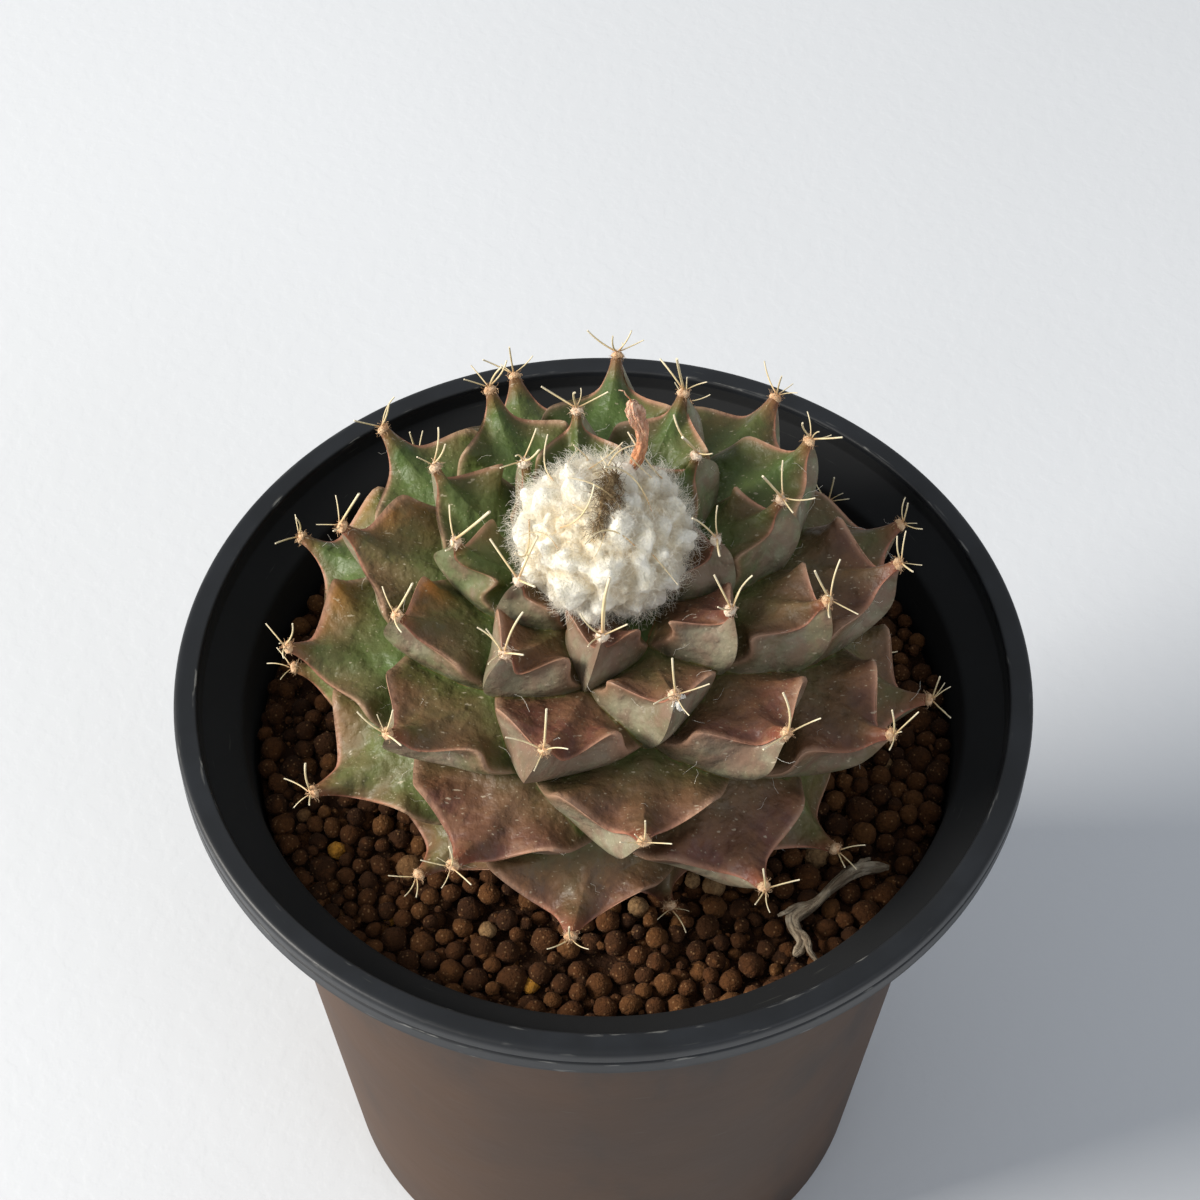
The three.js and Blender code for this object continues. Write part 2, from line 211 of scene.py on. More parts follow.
def finished(name, base, coats=(), bumps=(), gloss=None, **sockets):
    """A material: its base colour under coats of (colour, *masks), over bumps of (millimetres, *masks).

    Clouds are soft patches of a size in millimetres, on the mesh's own map where they are along it.
    Specks are round, with a spacing in millimetres. gloss is (smooth, rough, *masks).
    """
    material = bpy.data.materials.new(name)
    material.use_nodes = True
    tree = material.node_tree
    tree.nodes.clear()
    add = partial(put, tree)
    shader = add("ShaderNodeBsdfPrincipled", {key.replace("_", " "): sockets[key] for key in sockets}, None)
    add("ShaderNodeOutputMaterial", {"Surface": shader.outputs[0]}, None)
    where = add("ShaderNodeTexCoord", give="Object")
    made = {}

    def read(mask):
        """A mask as a number or a socket, made once and then reused."""
        if isinstance(mask, (int, float)) or mask in made:
            return made.get(mask, mask)
        if isinstance(mask, str):
            made[mask] = add("ShaderNodeAttribute", give="Fac", attribute_name=mask)
            return made[mask]
        smooth = "LINEAR"
        if isinstance(mask, Span):
            window = {"Value": read(mask.mask), "From Min": mask.start, "From Max": mask.end}
        elif isinstance(mask, Specks):
            cells = add("ShaderNodeTexVoronoi", {"Vector": where, "Scale": 1 / (mask.spacing * MM)})
            window = {"Value": cells, "From Min": mask.share, "From Max": 0.5 * mask.share}
        else:
            smooth, place = "SMOOTHSTEP", where
            if mask.along:
                place = add("ShaderNodeUVMap", uv_map="wrap")
            place = add("ShaderNodeMapping", {"Vector": place, "Scale": mask.stretch})
            form = {"Scale": 1 / (mask.size * MM), "Detail": mask.detail}
            cloud = add("ShaderNodeTexNoise", {"Vector": place, **form})
            window = {"Value": cloud, "From Min": mask.low, "From Max": mask.high}
        made[mask] = add("ShaderNodeMapRange", window, interpolation_type=smooth)
        return made[mask]

    def product(masks):
        """All the masks multiplied."""
        total = read(masks[0])
        for mask in masks[1:]:
            total = add("ShaderNodeMath", {0: total, 1: read(mask)}, operation="MULTIPLY")
        return total

    tone = paint(base) if isinstance(base, str) else tuple(base)
    for over, *masks in coats:
        over = paint(over) if isinstance(over, str) else tuple(over)
        tone = add("ShaderNodeMix", {0: product(masks), 6: tone, 7: over}, 2, data_type="RGBA")
    tree.links.new(tone, shader.inputs["Base Color"])
    if gloss:
        window = {"Value": product(gloss[2:]), "To Min": gloss[0], "To Max": gloss[1]}
        tree.links.new(add("ShaderNodeMapRange", window), shader.inputs["Roughness"])
    links = {"Strength": 1.0}
    for depth, *masks in bumps:
        links.update({"Height": product(masks), "Distance": depth * MM})
        links["Normal"] = add("ShaderNodeBump", links)
    tree.links.new(links["Normal"], shader.inputs["Normal"])
    return material


def moulded_polypropylene(colours):
    """Injection-moulded black polypropylene: satin, scuffed pale on its edges, with a brown film on the wall
    that is partly dust and partly painted reflection, and painted shade that darkens its inside.
    """
    grey, fine = Clouds(9, 0.35, 0.75), Clouds(0.7, 0.3, 0.7)
    scuffs = ("wear", Clouds(1.0, 0.6, 0.68, 5, (0.16, 1.2, 1), True))
    return finished(
        "moulded_polypropylene", colours.plastic,
        coats=[
            # the brown film on the wall is partly dust and partly painted reflection
            ("#2c3036", grey, 0.3), (colours.dust_and_reflection, "wall", 0.65),
            (colours.dust_and_reflection, "wall", Clouds(26, 0.3, 0.7), 0.6),
            # 0a0b0c on the inside is painted shade in the pot's recess
            ("#1f1c1a", "wall", Clouds(14, 0.5, 0.72, 5, (1, 1, 0.5)), 0.5), ("#0a0b0c", "inside", 0.75),
            ("#55564f", Clouds(1.0, 0.68, 0.74, 4, (0.1, 1.6, 1), True), 0.3),
            ("#a3a29c", *scuffs, 0.55),
        ],
        bumps=[(0.05, grey), (0.004, fine), (0.03, *scuffs)],
        gloss=(0.3, 0.95, "matt"), IOR=1.5, Specular_IOR_Level=0.4,
    )


def baked_clay(colours):
    """Baked brown clay: round, porous and dusty, so it is matt and grainy all over."""
    stops = (
        (0.0, "#2f1b0b"), (0.35, "#432812"), (0.7, "#573519"), (0.93, "#6d4826"),
        (0.955, "#a4845c"), (0.975, "#c0832b"), (1.0, "#d0953a"),
    )
    kinds = [(code, Span("tint", start, end)) for (start, _), (end, code) in zip(stops, stops[1:])]
    grain = Clouds(0.55, 0.3, 0.7, 4)
    return finished(
        "baked_clay", stops[0][1],
        coats=[
            *kinds, ("#3a200e", grain, 0.45), (colours.clay, Clouds(1.6, 0.5, 0.7), 0.35),
            ("#c59a6b", Specks(0.8, 0.25), 0.3),
        ],
        bumps=[(0.12, grain), (0.05, Clouds(0.28, 0.3, 0.7))],
        Roughness=0.95, Specular_IOR_Level=0.25,
    )


def waxy_skin(colours):
    """Living cactus skin under a thin wax: leathery, mottled, horny and pale along its ridges, with painted
    shade that darkens it towards each tubercle's foot and on the core.
    """
    patches, mottle = Clouds(9, 0.36, 0.64, 2), Clouds(2.6, 0.36, 0.66, 4)
    veins = Clouds(1.5, 0.48, 0.62, 4, (1, 1, 0.4))
    return finished(
        "waxy_cactus_skin", colours.green,
        coats=[
            ("#8a9a5c", "pale"), ("#3c4f28", mottle, 0.35),
            (colours.purple, "sun"), (colours.purple, patches, Span("sun", -0.5, 1.0), 0.45),
            ("#86613f", mottle, "sun", 0.5), ("#45302a", "tone", "sun", 0.4),
            ("#3a2a26", veins, "sun", 0.25),
            ("#97937b", "under", Span(patches, -0.7, 1.4)), ("#7c5a4e", "under", mottle, 0.5),
            ("#5f4c36", "keel", 0.35), ("#e08a2a", "gold", Clouds(5, 0.35, 0.6)),
            # 28381a towards each tubercle's foot is the skin's own green, darkened by painted shade in the
            # creases between tubercles
            ("#28381a", Span("share", 0.72, 1.0), 0.55), (colours.rim, "ridge", 0.75),
            ("#a84f3a", "ridge", Span("share", 0.5, 0.1), 0.55), ("#94503a", Span("share", 0.15, 0.03), 0.5),
            ("#cbbfa6", Clouds(0.8, 0.66, 0.74, 3, (0.6, 1.3, 0.7)), 0.5),
            ("#b9ad8e", Specks(0.9, 0.16), 0.35),
        ],
        bumps=[(0.5, Clouds(4, 0.2, 0.8, 2)), (0.12, mottle), (0.03, Clouds(0.5, 0.3, 0.7))],
        gloss=(0.4, 0.6, mottle), IOR=1.4, Specular_IOR_Level=0.45,
    )


def plant_wool(colours):
    """Plant wool: fine dry curls that scatter light among themselves, with painted shade: a darker cream in
    the hollows between clumps.
    """
    return finished(
        "plant_wool", colours.wool,
        # e6cf9c in the hollows between clumps is painted shade
        coats=[("#e6cf9c", "hollow", 0.7), ("#efdfb6", Clouds(3.2, 0.48, 0.7), 0.3)],
        bumps=[(0.15, Clouds(0.5, 0.3, 0.7, 4))], Roughness=0.9, IOR=1.45, Specular_IOR_Level=0.1,
        Subsurface_Weight=0.35, Subsurface_Radius=(1, 1, 1), Subsurface_Scale=0.9 * MM,
    )


def straw_spine(colours):
    """A dry spine: straw-coloured and slightly glossy, tan at its foot and paler to the point."""
    return finished(
        "straw_spine", colours.spine,
        coats=[
            ("#c9ac72", Clouds(1.0), 0.3), ("#b9834d", Span("along", 0.3, 0.0), 0.7),
            ("#f3ead2", Span("along", 0.55, 1.0), 0.6),
        ],
        bumps=[(0.02, Clouds(0.4))], Roughness=0.45,
    )


def areole_felt(colours):
    """Short felt on an areole: matt, orange tan where old and cream where new."""
    return finished(
        "areole_felt", "#e0bb92",
        coats=[("#f6ead6", "fresh"), ("#b87a4b", Clouds(0.7, 0.4, 0.65), 0.5)],
        bumps=[(0.12, Clouds(0.3, 0.3, 0.7, 4))], Roughness=0.95, Specular_IOR_Level=0.1,
    )


def dry_petal(colours):
    """A dried flower tube: papery and veined lengthwise, orange below and pink brown above."""
    veins = Clouds(0.35, 0.4, 0.6, 3, (1, 1, 0.2))
    return finished(
        "dry_petal", "#d88c52",
        coats=[("#ecc9ae", "along", 0.9), ("#b0653a", veins, 0.45), ("#8a4a2c", Clouds(1.4, 0.5, 0.7), 0.4)],
        bumps=[(0.12, veins), (0.05, Clouds(0.25))],
        Roughness=0.8, Subsurface_Weight=0.1, Subsurface_Scale=0.5 * MM,
    )


def dry_fluff(colours):
    """Withered flower remains: a mat of brown dry hairs with no gloss."""
    streaks = Clouds(0.5, 0.35, 0.65, 4)
    return finished(
        "dry_fluff", "#7b6044", coats=[("#bba47c", streaks), ("#3a2814", Clouds(1.5), 0.5)],
        bumps=[(0.15, streaks)], Roughness=0.95, Specular_IOR_Level=0.15,
    )


def dry_stalk(colours):
    """A weathered dead stalk: grey beige, split and peeling lengthwise."""
    splits = Clouds(0.5, 0.42, 0.6, 4, (1.0, 0.15, 1), True)
    return finished(
        "dry_stalk", "#a99982",
        coats=[("#63513f", splits, 0.65), ("#c9bca6", Clouds(2.2, 0.5, 0.68), 0.6)],
        bumps=[(0.2, splits), (0.06, Clouds(0.3))], Roughness=0.9, Specular_IOR_Level=0.2,
    )


def studio_floor(colours):
    """Matt painted board: pale and even, with a faint unevenness."""
    return finished(
        "matt_painted_board", colours.floor, coats=[("#c6c9cc", Clouds(300, 0.3, 0.7), 0.25)],
        bumps=[(0.02, Clouds(4))], Roughness=0.8,
    )


# ------------------------------------------------------------------ meshes
def unit(vector):
    """The vector at length 1."""
    return vector / np.linalg.norm(vector)


def bell(distance, width):
    """1 where the distance is 0, and falling smoothly away over that width."""
    return np.exp(-((distance / width) ** 2))


def travelled(path):
    """How far along a path each of its points is."""
    return np.concatenate([[0], np.cumsum(np.linalg.norm(np.diff(path, axis=0), axis=1))])


def store(mesh, values=None, vectors=None):
    """Puts named values and named vectors on the points of a mesh."""
    for label, column in (values or {}).items():
        data = mesh.attributes.new(label, "FLOAT", "POINT").data
        data.foreach_set("value", np.asarray(column, np.float32))
    for label, column in (vectors or {}).items():
        data = mesh.attributes.new(label, "FLOAT_VECTOR", "POINT").data
        data.foreach_set("vector", np.asarray(column, np.float32).ravel())


def make_mesh(name, points, faces, values=None, uv=None, sharp=None):
    """A mesh from points in millimetres, with its point values and its UV map in metres."""
    mesh = bpy.data.meshes.new(name)
    mesh.from_pydata((np.asarray(points, float) * MM).tolist(), [], [tuple(map(int, f)) for f in faces])
    store(mesh, values)
    if uv is not None:
        layer = mesh.uv_layers.new(name="wrap")
        layer.data.foreach_set("uv", (np.asarray(uv, float) * MM).ravel())
    mesh.shade_smooth()
    if sharp:
        mesh.set_sharp_from_angle(angle=math.radians(sharp))
    return mesh


def make_object(name, mesh, material=None):
    """An object in the scene, in its material."""
    made = bpy.data.objects.new(name, mesh)
    bpy.context.scene.collection.objects.link(made)
    if material:
        mesh.materials.clear()
        mesh.materials.append(material)
    return made


def settle(piece, slot, *nodes):
    """The piece joins the frame's root body, and the CAD nodes it stands for are hidden. The slot is not
    used.
    """
    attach(piece, "root")
    if nodes:
        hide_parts(*nodes)


def applied(holder, material=None, sharp=None):
    """The holder with its modifiers turned into plain mesh, in a material with edges sharp from an angle."""
    graph = bpy.context.evaluated_depsgraph_get()
    mesh = bpy.data.meshes.new_from_object(
        holder.evaluated_get(graph), preserve_all_data_layers=True, depsgraph=graph
    )
    holder.modifiers.clear()
    old, holder.data = holder.data, mesh
    bpy.data.meshes.remove(old)
    if material:
        mesh.materials.clear()
        mesh.materials.append(material)
        mesh.shade_smooth()
        mesh.set_sharp_from_angle(angle=math.radians(sharp))
    return holder


@contextmanager
def editing(mesh):
    """The mesh opened as a bmesh, and written back at the end."""
    edit = bmesh.new()
    edit.from_mesh(mesh)
    yield edit
    edit.to_mesh(mesh)
    edit.free()


def ring(radius, azimuth, height):
    """Points at a radius, turned from -Y towards +X, at a height."""
    radius, azimuth, height = np.broadcast_arrays(radius, azimuth, height)
    return np.stack([radius * np.sin(azimuth), -radius * np.cos(azimuth), height], -1)


def filleted(corners, steps=5):
    """A profile of (radius, height, fillet) with each corner rounded by its fillet."""
    flat = np.array([corner[:2] for corner in corners], float)
    line = [flat[0]]
    for i in range(1, len(flat) - 1):
        fillet = corners[i][2] if len(corners[i]) > 2 else 0
        if not fillet:
            line.append(flat[i])
            continue
        before, after = flat[i - 1] - flat[i], flat[i + 1] - flat[i]
        long_before, long_after = np.linalg.norm(before), np.linalg.norm(after)
        half = math.acos(np.clip(before @ after / long_before / long_after, -1, 1)) / 2
        back = min(fillet / math.tan(half), 0.48 * long_before, 0.48 * long_after)
        start, end = flat[i] + unit(before) * back, flat[i] + unit(after) * back
        for t in np.linspace(0, 1, steps):
            line.append((1 - t) ** 2 * start + 2 * t * (1 - t) * flat[i] + t * t * end)
    line.append(flat[-1])
    return np.array(line)


def refined(profile, step):
    """A profile whose stretches are cut into pieces no longer than step(height) millimetres."""
    line = [profile[0]]
    for start, end in zip(profile[:-1], profile[1:]):
        cuts = max(1, math.ceil(np.linalg.norm(end - start) / step(min(start[1], end[1]))))
        line += [start + (end - start) * (i + 1) / cuts for i in range(cuts)]
    return np.array(line)


def tube(around, levels, girth, at):
    """Faces and UVs of a closed tube: at(k, i) is the point in column k and row i; the two ends come last.

    levels say how far along it are the first end, each row and the last end.
    """
    rows = len(levels) - 2
    faces, uv = [], []
    for k in range(around):
        m = (k + 1) % around
        u, v = k / around * girth, (k + 1) / around * girth
        faces.append((around * rows, at(m, 0), at(k, 0)))
        uv += [(u, levels[0]), (v, levels[1]), (u, levels[1])]
        for i in range(rows - 1):
            faces.append((at(k, i), at(m, i), at(m, i + 1), at(k, i + 1)))
            low, high = levels[i + 1], levels[i + 2]
            uv += [(u, low), (v, low), (v, high), (u, high)]
        faces.append((around * rows + 1, at(k, rows - 1), at(m, rows - 1)))
        uv += [(u, levels[-1]), (u, levels[-2]), (v, levels[-2])]
    return faces, uv


def turned(name, profile, segments, values=None, sharp=40):
    """A closed solid of revolution whose profile starts and ends on the axis."""
    inner = profile[1:-1]
    angles = np.arange(segments) * 2 * math.pi / segments
    points = ring(inner[None, :, 0], angles[:, None], inner[None, :, 1]).reshape(-1, 3)
    points = np.vstack([points, [(0, 0, profile[0][1])], [(0, 0, profile[-1][1])]])
    girth = 2 * math.pi * profile[:, 0].max()
    faces, uv = tube(segments, travelled(profile), girth, lambda k, i: k * len(inner) + i)
    columns = {
        label: np.concatenate([np.tile(column[1:-1], segments), [0, 0]])
        for label, column in (values or {}).items()
    }
    return make_mesh(name, points, faces, columns, uv, sharp)


def swept(name, path, radii, sides=12, flutes=None):
    """A closed tube along a path, with a radius at each point, fluted by flutes(turns, share of it)."""
    path = np.asarray(path, float)
    count = len(path)
    ahead = np.gradient(path, axis=0)
    ahead /= np.linalg.norm(ahead, axis=1)[:, None]
    side = np.cross(ahead[0], (0.3, 0.2, 0.9))
    turns = np.arange(sides) * 2 * math.pi / sides
    rows = []
    for i, (centre, direction) in enumerate(zip(path, ahead)):
        side = unit(side - direction * (side @ direction))
        other = np.cross(direction, side)
        reach = radii[i] * (1 + (flutes(turns, i / (count - 1)) if flutes else 0 * turns))
        rows.append(centre + np.outer(reach * np.cos(turns), side) + np.outer(reach * np.sin(turns), other))
    run = travelled(path)
    girth = 2 * math.pi * float(np.mean(radii))
    faces, uv = tube(sides, [0, *run, run[-1]], girth, lambda k, i: i * sides + k)
    along = np.concatenate([np.repeat(np.linspace(0, 1, count), sides), [0, 1]])
    mesh = make_mesh(name, np.vstack([*rows, path[:1], path[-1:]]), faces, {"along": along}, uv)
    with editing(mesh) as edit:
        bmesh.ops.recalc_face_normals(edit, faces=edit.faces)
    return mesh


def waves(*rows):
    """Flutes for a swept tube: rows of depth, growth of it along the tube, count round it, and twist."""
    return lambda turns, share: sum(
        (depth + growth * share) * np.sin(count * turns + twist * share)
        for depth, growth, count, twist in rows
    )


def moulded_ball(name, fineness, label, mould):
    """A ball whose points go where mould(point) says, each with the value that it gives for the label."""
    mesh = bpy.data.meshes.new(name)
    with editing(mesh) as edit:
        bmesh.ops.create_icosphere(edit, subdivisions=fineness, radius=1)
        values = []
        for vertex in edit.verts:
            spot, value = mould(np.array(vertex.co))
            vertex.co = spot * MM
            values.append(value)
    store(mesh, {label: values})
    return mesh


def joined(name, meshes):
    """Several meshes as one smooth mesh, with the values they share."""
    edit = bmesh.new()
    for mesh in meshes:
        edit.from_mesh(mesh)
        bpy.data.meshes.remove(mesh)
    one = bpy.data.meshes.new(name)
    edit.to_mesh(one)
    edit.free()
    one.shade_smooth()
    return one


def ripple(point, size, seed=0.0):
    """Smooth unevenness from -1 to 1 with lumps of about that size in millimetres."""
    return noise.noise(Vector(point) / size + Vector((seed, -seed, 0.5 * seed)))


# ------------------------------------------------------------------ repeated shapes
def new_tree(name, *inputs, counts=()):
    """A Geometry Nodes tree, what adds a node to it, and the sockets of its named inputs."""
    tree = bpy.data.node_groups.new(name, "GeometryNodeTree")
    tree.interface.new_socket("Geometry", in_out="INPUT", socket_type="NodeSocketGeometry")
    kinds = {**dict.fromkeys(counts, "Int"), **dict.fromkeys(inputs, "Float")}
    kinds.update({"Material": "Material", "Seed": "Int"})
    for label, kind in kinds.items():
        tree.interface.new_socket(label, in_out="INPUT", socket_type="NodeSocket" + kind)
    tree.interface.new_socket("Geometry", in_out="OUTPUT", socket_type="NodeSocketGeometry")
    return tree, partial(put, tree), put(tree, "NodeGroupInput", give=None).outputs


def close_tree(tree, geometry, given, reshape=None):
    """Ends a tree: real shapes in their material."""
    real = put(tree, "GeometryNodeRealizeInstances", {"Geometry": geometry})
    if reshape:
        real = put(tree, "GeometryNodeSetPosition", {"Geometry": real, "Offset": reshape})
    smooth = put(tree, "GeometryNodeSetShadeSmooth", {"Geometry": real})
    painted = put(tree, "GeometryNodeSetMaterial", {"Geometry": smooth, "Material": given["Material"]})
    put(tree, "NodeGroupOutput", {"Geometry": painted}, None)
    return tree


def pebble_tree():
    """Lumpy balls on points that carry their size, and a tint that goes with them."""
    sizes = ("Squash", "Lump Size", "Lump Depth")
    tree, add, given = new_tree("scattered_pebbles", *sizes, counts=("Segments", "Rings"))
    cuts = {"Segments": given["Segments"], "Rings": given["Rings"]}
    ball = add("GeometryNodeMeshUVSphere", {**cuts, "Radius": 1.0})
    size = add("GeometryNodeInputNamedAttribute", {"Name": "size"}, data_type="FLOAT")
    flat = add("ShaderNodeMath", {0: 1.0, 1: given["Squash"]}, operation="SUBTRACT")
    turn, form = (
        add("FunctionNodeRandomValue", {**span, "Seed": given["Seed"]}, data_type="FLOAT_VECTOR")
        for span in ({1: (ANY_TURN,) * 3}, {0: flat, 1: (1.05,) * 3})
    )
    scale = add("ShaderNodeVectorMath", {0: form, "Scale": size}, operation="SCALE")
    placing = {"Points": given["Geometry"], "Instance": ball, "Rotation": turn, "Scale": scale}
    placed = add("GeometryNodeInstanceOnPoints", placing)
    fine = add("ShaderNodeMath", {0: 1.0, 1: given["Lump Size"]}, operation="DIVIDE")
    where = add("GeometryNodeInputPosition")
    bumps = add("ShaderNodeTexNoise", {"Vector": where, "Scale": fine, "Detail": 1.0})
    swing = add("ShaderNodeMath", {0: bumps, 1: 0.5}, operation="SUBTRACT")
    depth = add("ShaderNodeMath", {0: swing, 1: given["Lump Depth"]}, operation="MULTIPLY")
    out = add("GeometryNodeInputNormal")
    shift = add("ShaderNodeVectorMath", {0: out, "Scale": depth}, operation="SCALE")
    return close_tree(tree, placed, given, shift)


def strand(add, handles, thickness, rings, sides, taper):
    """One unit strand up Z, with its share of the length stored as a value."""
    bends = dict(zip(("Start", "Start Handle", "End Handle", "End"), handles))
    curve = add("GeometryNodeCurvePrimitiveBezierSegment", {"Resolution": rings, **bends})
    share = add("GeometryNodeSplineParameter", give="Factor")
    steep = add("ShaderNodeMath", {0: share, 1: 1.15}, operation="POWER")
    thin = add("ShaderNodeMapRange", {"Value": steep, "To Min": 1.0, "To Max": taper})
    label = {"Geometry": curve, "Name": "along", "Value": share}
    curve = add("GeometryNodeStoreNamedAttribute", label, data_type="FLOAT")
    curve = add("GeometryNodeSetCurveRadius", {"Curve": curve, "Radius": thin})
    section = add("GeometryNodeCurvePrimitiveCircle", {"Resolution": sides, "Radius": thickness})
    skin = add("GeometryNodeCurveToMesh", {"Curve": curve, "Profile Curve": section, "Fill Caps": True})
    return add("GeometryNodeGeometryToInstance", {"Geometry": skin})


def stand_strands(tree, given, points, direction, variants, lengths):
    """Strands set on points, each along its direction, with its own roll and length, as a whole tree."""
    add = partial(put, tree)
    pool = add("GeometryNodeJoinGeometry", give=None)
    for variant in variants:
        tree.links.new(variant, pool.inputs[0])
    roll = add("FunctionNodeRandomValue", {3: ANY_TURN, "Seed": given["Seed"]}, 1, data_type="FLOAT")
    spun = add("FunctionNodeAxisAngleToRotation", {"Axis": (0, 0, 1), "Angle": roll})
    turn = add("FunctionNodeAlignRotationToVector", {"Rotation": spun, "Vector": direction}, axis="Z")
    placing = {"Points": points, "Instance": pool.outputs[0], "Pick Instance": True}
    stood = add("GeometryNodeInstanceOnPoints", {**placing, "Rotation": turn, "Scale": lengths})
    return close_tree(tree, stood, given)


def spine_tree():
    """Tapered, slightly bowed spines on points that carry a direction and a reach."""
    tree, add, given = new_tree("set_spines", "Slenderness", "Bow")
    aim = add("GeometryNodeInputNamedAttribute", {"Name": "aim"}, data_type="FLOAT_VECTOR")
    reach = add("GeometryNodeInputNamedAttribute", {"Name": "reach"}, data_type="FLOAT")
    variants = []
    for bow in (0.15, 0.55, 1.0):
        lean = add("ShaderNodeMath", {0: given["Bow"], 1: bow}, operation="MULTIPLY")
        low, high = (add("ShaderNodeCombineXYZ", {"X": lean, "Z": share}) for share in (0.33, 0.66))
        variants.append(strand(add, ((0, 0, 0), low, high, (0, 0, 1)), given["Slenderness"], 8, 6, 0.12))
    return stand_strands(tree, given, given["Geometry"], aim, variants, reach)


def fibre_tree():
    """Curly fibres over a surface: neighbours lean the same way, so that they clump into tufts."""
    inputs = ("Density", "Fibre Length", "Slenderness", "Tuft Size", "Lift")
    tree, add, given = new_tree("curly_fibres", *inputs)
    seed = {"Seed": given["Seed"]}
    ground = {"Mesh": given["Geometry"], "Density": given["Density"]}
    scattered = add("GeometryNodeDistributePointsOnFaces", {**ground, **seed}, None)
    normal = scattered.outputs["Normal"]
    where = add("GeometryNodeInputPosition")
    fine = add("ShaderNodeMath", {0: 1.0, 1: given["Tuft Size"]}, operation="DIVIDE")
    swirl = add("ShaderNodeTexNoise", {"Vector": where, "Scale": fine, "Detail": 2.0}, "Color")
    span = {0: (-0.35,) * 3, 1: (0.35,) * 3, **seed}
    stray = add("FunctionNodeRandomValue", span, data_type="FLOAT_VECTOR")
    lift = add("ShaderNodeVectorMath", {0: normal, "Scale": given["Lift"]}, operation="SCALE")
    lean = swirl
    steps = ((1, (0.5,) * 3, "SUBTRACT"), ("Scale", 4.0, "SCALE"), (1, stray, "ADD"))
    for socket, value, operation in steps:
        lean = add("ShaderNodeVectorMath", {0: lean, socket: value}, operation=operation)
    upward = add("ShaderNodeVectorMath", {0: lean, 1: normal}, operation="PROJECT")
    for value, operation in ((upward, "SUBTRACT"), (lift, "ADD")):
        lean = add("ShaderNodeVectorMath", {0: lean, 1: value}, operation=operation)
    low, high = (
        add("ShaderNodeMath", {0: given["Fibre Length"], 1: share}, operation="MULTIPLY")
        for share in (0.5, 1.35)
    )
    lengths = add("FunctionNodeRandomValue", {2: low, 3: high, **seed}, 1, data_type="FLOAT")
    curls = (
        ((0, 0, 0), (0.5, 0.1, 0.2), (-0.35, 0.3, 0.7), (0.1, 0.1, 0.85)),
        ((0, 0, 0), (-0.1, 0.4, 0.4), (0.5, 0.2, 0.6), (0.35, -0.1, 0.9)),
        ((0, 0, 0), (0.2, -0.1, 0.35), (0.1, 0.35, 0.8), (-0.1, 0.15, 1.0)),
    )
    variants = [strand(add, curl, given["Slenderness"], 3, 3, 0.5) for curl in curls]
    return stand_strands(tree, given, scattered.outputs["Points"], lean, variants, lengths)


def grown(name, mesh, tree, **values):
    """A piece that a tree grows from a mesh, as plain mesh. Spaces in input names are underscores."""
    holder = make_object(name, mesh)
    modifier = holder.modifiers.new(tree.name, "NODES")
    modifier.node_group = tree
    for item in tree.interface.items_tree:
        key = item.name.replace(" ", "_").lower()
        if item.item_type == "SOCKET" and item.in_out == "INPUT" and key in values:
            modifier[item.identifier] = values[key]
    return applied(holder)


def point_mesh(name, points, values=None, vectors=None):
    """Loose points in millimetres that carry values (metres where they are lengths)."""
    mesh = bpy.data.meshes.new(name)
    mesh.from_pydata((np.asarray(points, float) * MM).tolist(), [], [])
    store(mesh, values, vectors)
    return mesh


# ------------------------------------------------------------------ the plant's rule
class Spiral:
    """Where each tubercle of the golden-angle spiral sits, in millimetres, as the CAD has it."""

    EQUATOR, CROWN_FLATTENING, TIP_DROP = 20.4, 8.9, 22
    CORE_EQUATOR, CORE_RISE, CORE_DROP = 20, 18, 20
    POLAR_STEP, POLAR_GROWTH, FIRST_GAP = 1.45, 0.0225, 2.3
    NECK_SHARE, NECK_DEPTH = 0.62, 7

    def __init__(self, settings):
        pot, plant = settings.pot, settings.plant
        self.plant = plant
        self.ground = settings.bed.top / MM
        self.mouth = (pot.rim / 2 - pot.land - pot.ledge) / MM
        self.spread = self.mouth - plant.gap / MM
        self.core = self.spread - plant.reach / MM
        self.rise = plant.rise / MM
        self.wool = (WOOL_HIGH[0] - WOOL_LOW[0]) / 2

    def polar(self, place):
        """Angle from the pole down to a place."""
        first = math.asin((self.wool + self.FIRST_GAP) / self.spread)
        return first + np.radians(self.POLAR_STEP * place + self.POLAR_GROWTH * place * place)

    def azimuth(self, place):
        """Turn of a place round the axis."""
        return self.plant.first + self.plant.turn * place

    def core_point(self, azimuth, place):
        """A point on the core."""
        polar = np.minimum(self.polar(place), math.pi)
        level = np.cos(polar)
        height = level * np.where(level > 0, self.CORE_RISE, self.CORE_DROP)
        return ring(self.core * np.sin(polar), azimuth, self.ground + self.CORE_EQUATOR + height)

    def tip(self, place):
        """The tip of the tubercle at a place."""
        level = math.cos(self.polar(place))
        up, down = max(level, 0), min(level, 0)
        height = self.rise * up - self.CROWN_FLATTENING * up**4 + self.TIP_DROP * down
        radius = self.spread * math.sin(self.polar(place))
        return ring(radius, self.azimuth(place), self.ground + self.EQUATOR + height)

    def frame(self, place):
        """A tubercle's tip, its foot on the core, and the directions out, across and up there."""
        tip, base = self.tip(place), self.core_point(self.azimuth(place), place)
        out = unit(tip - base)
        across = ring(1.0, self.azimuth(place) + math.pi / 2, 0.0)
        up = unit(np.cross(across, out))
        return tip, base, out, across, up * (1 if up[2] > 0 else -1)


TURNS, RINGS = 60, 22
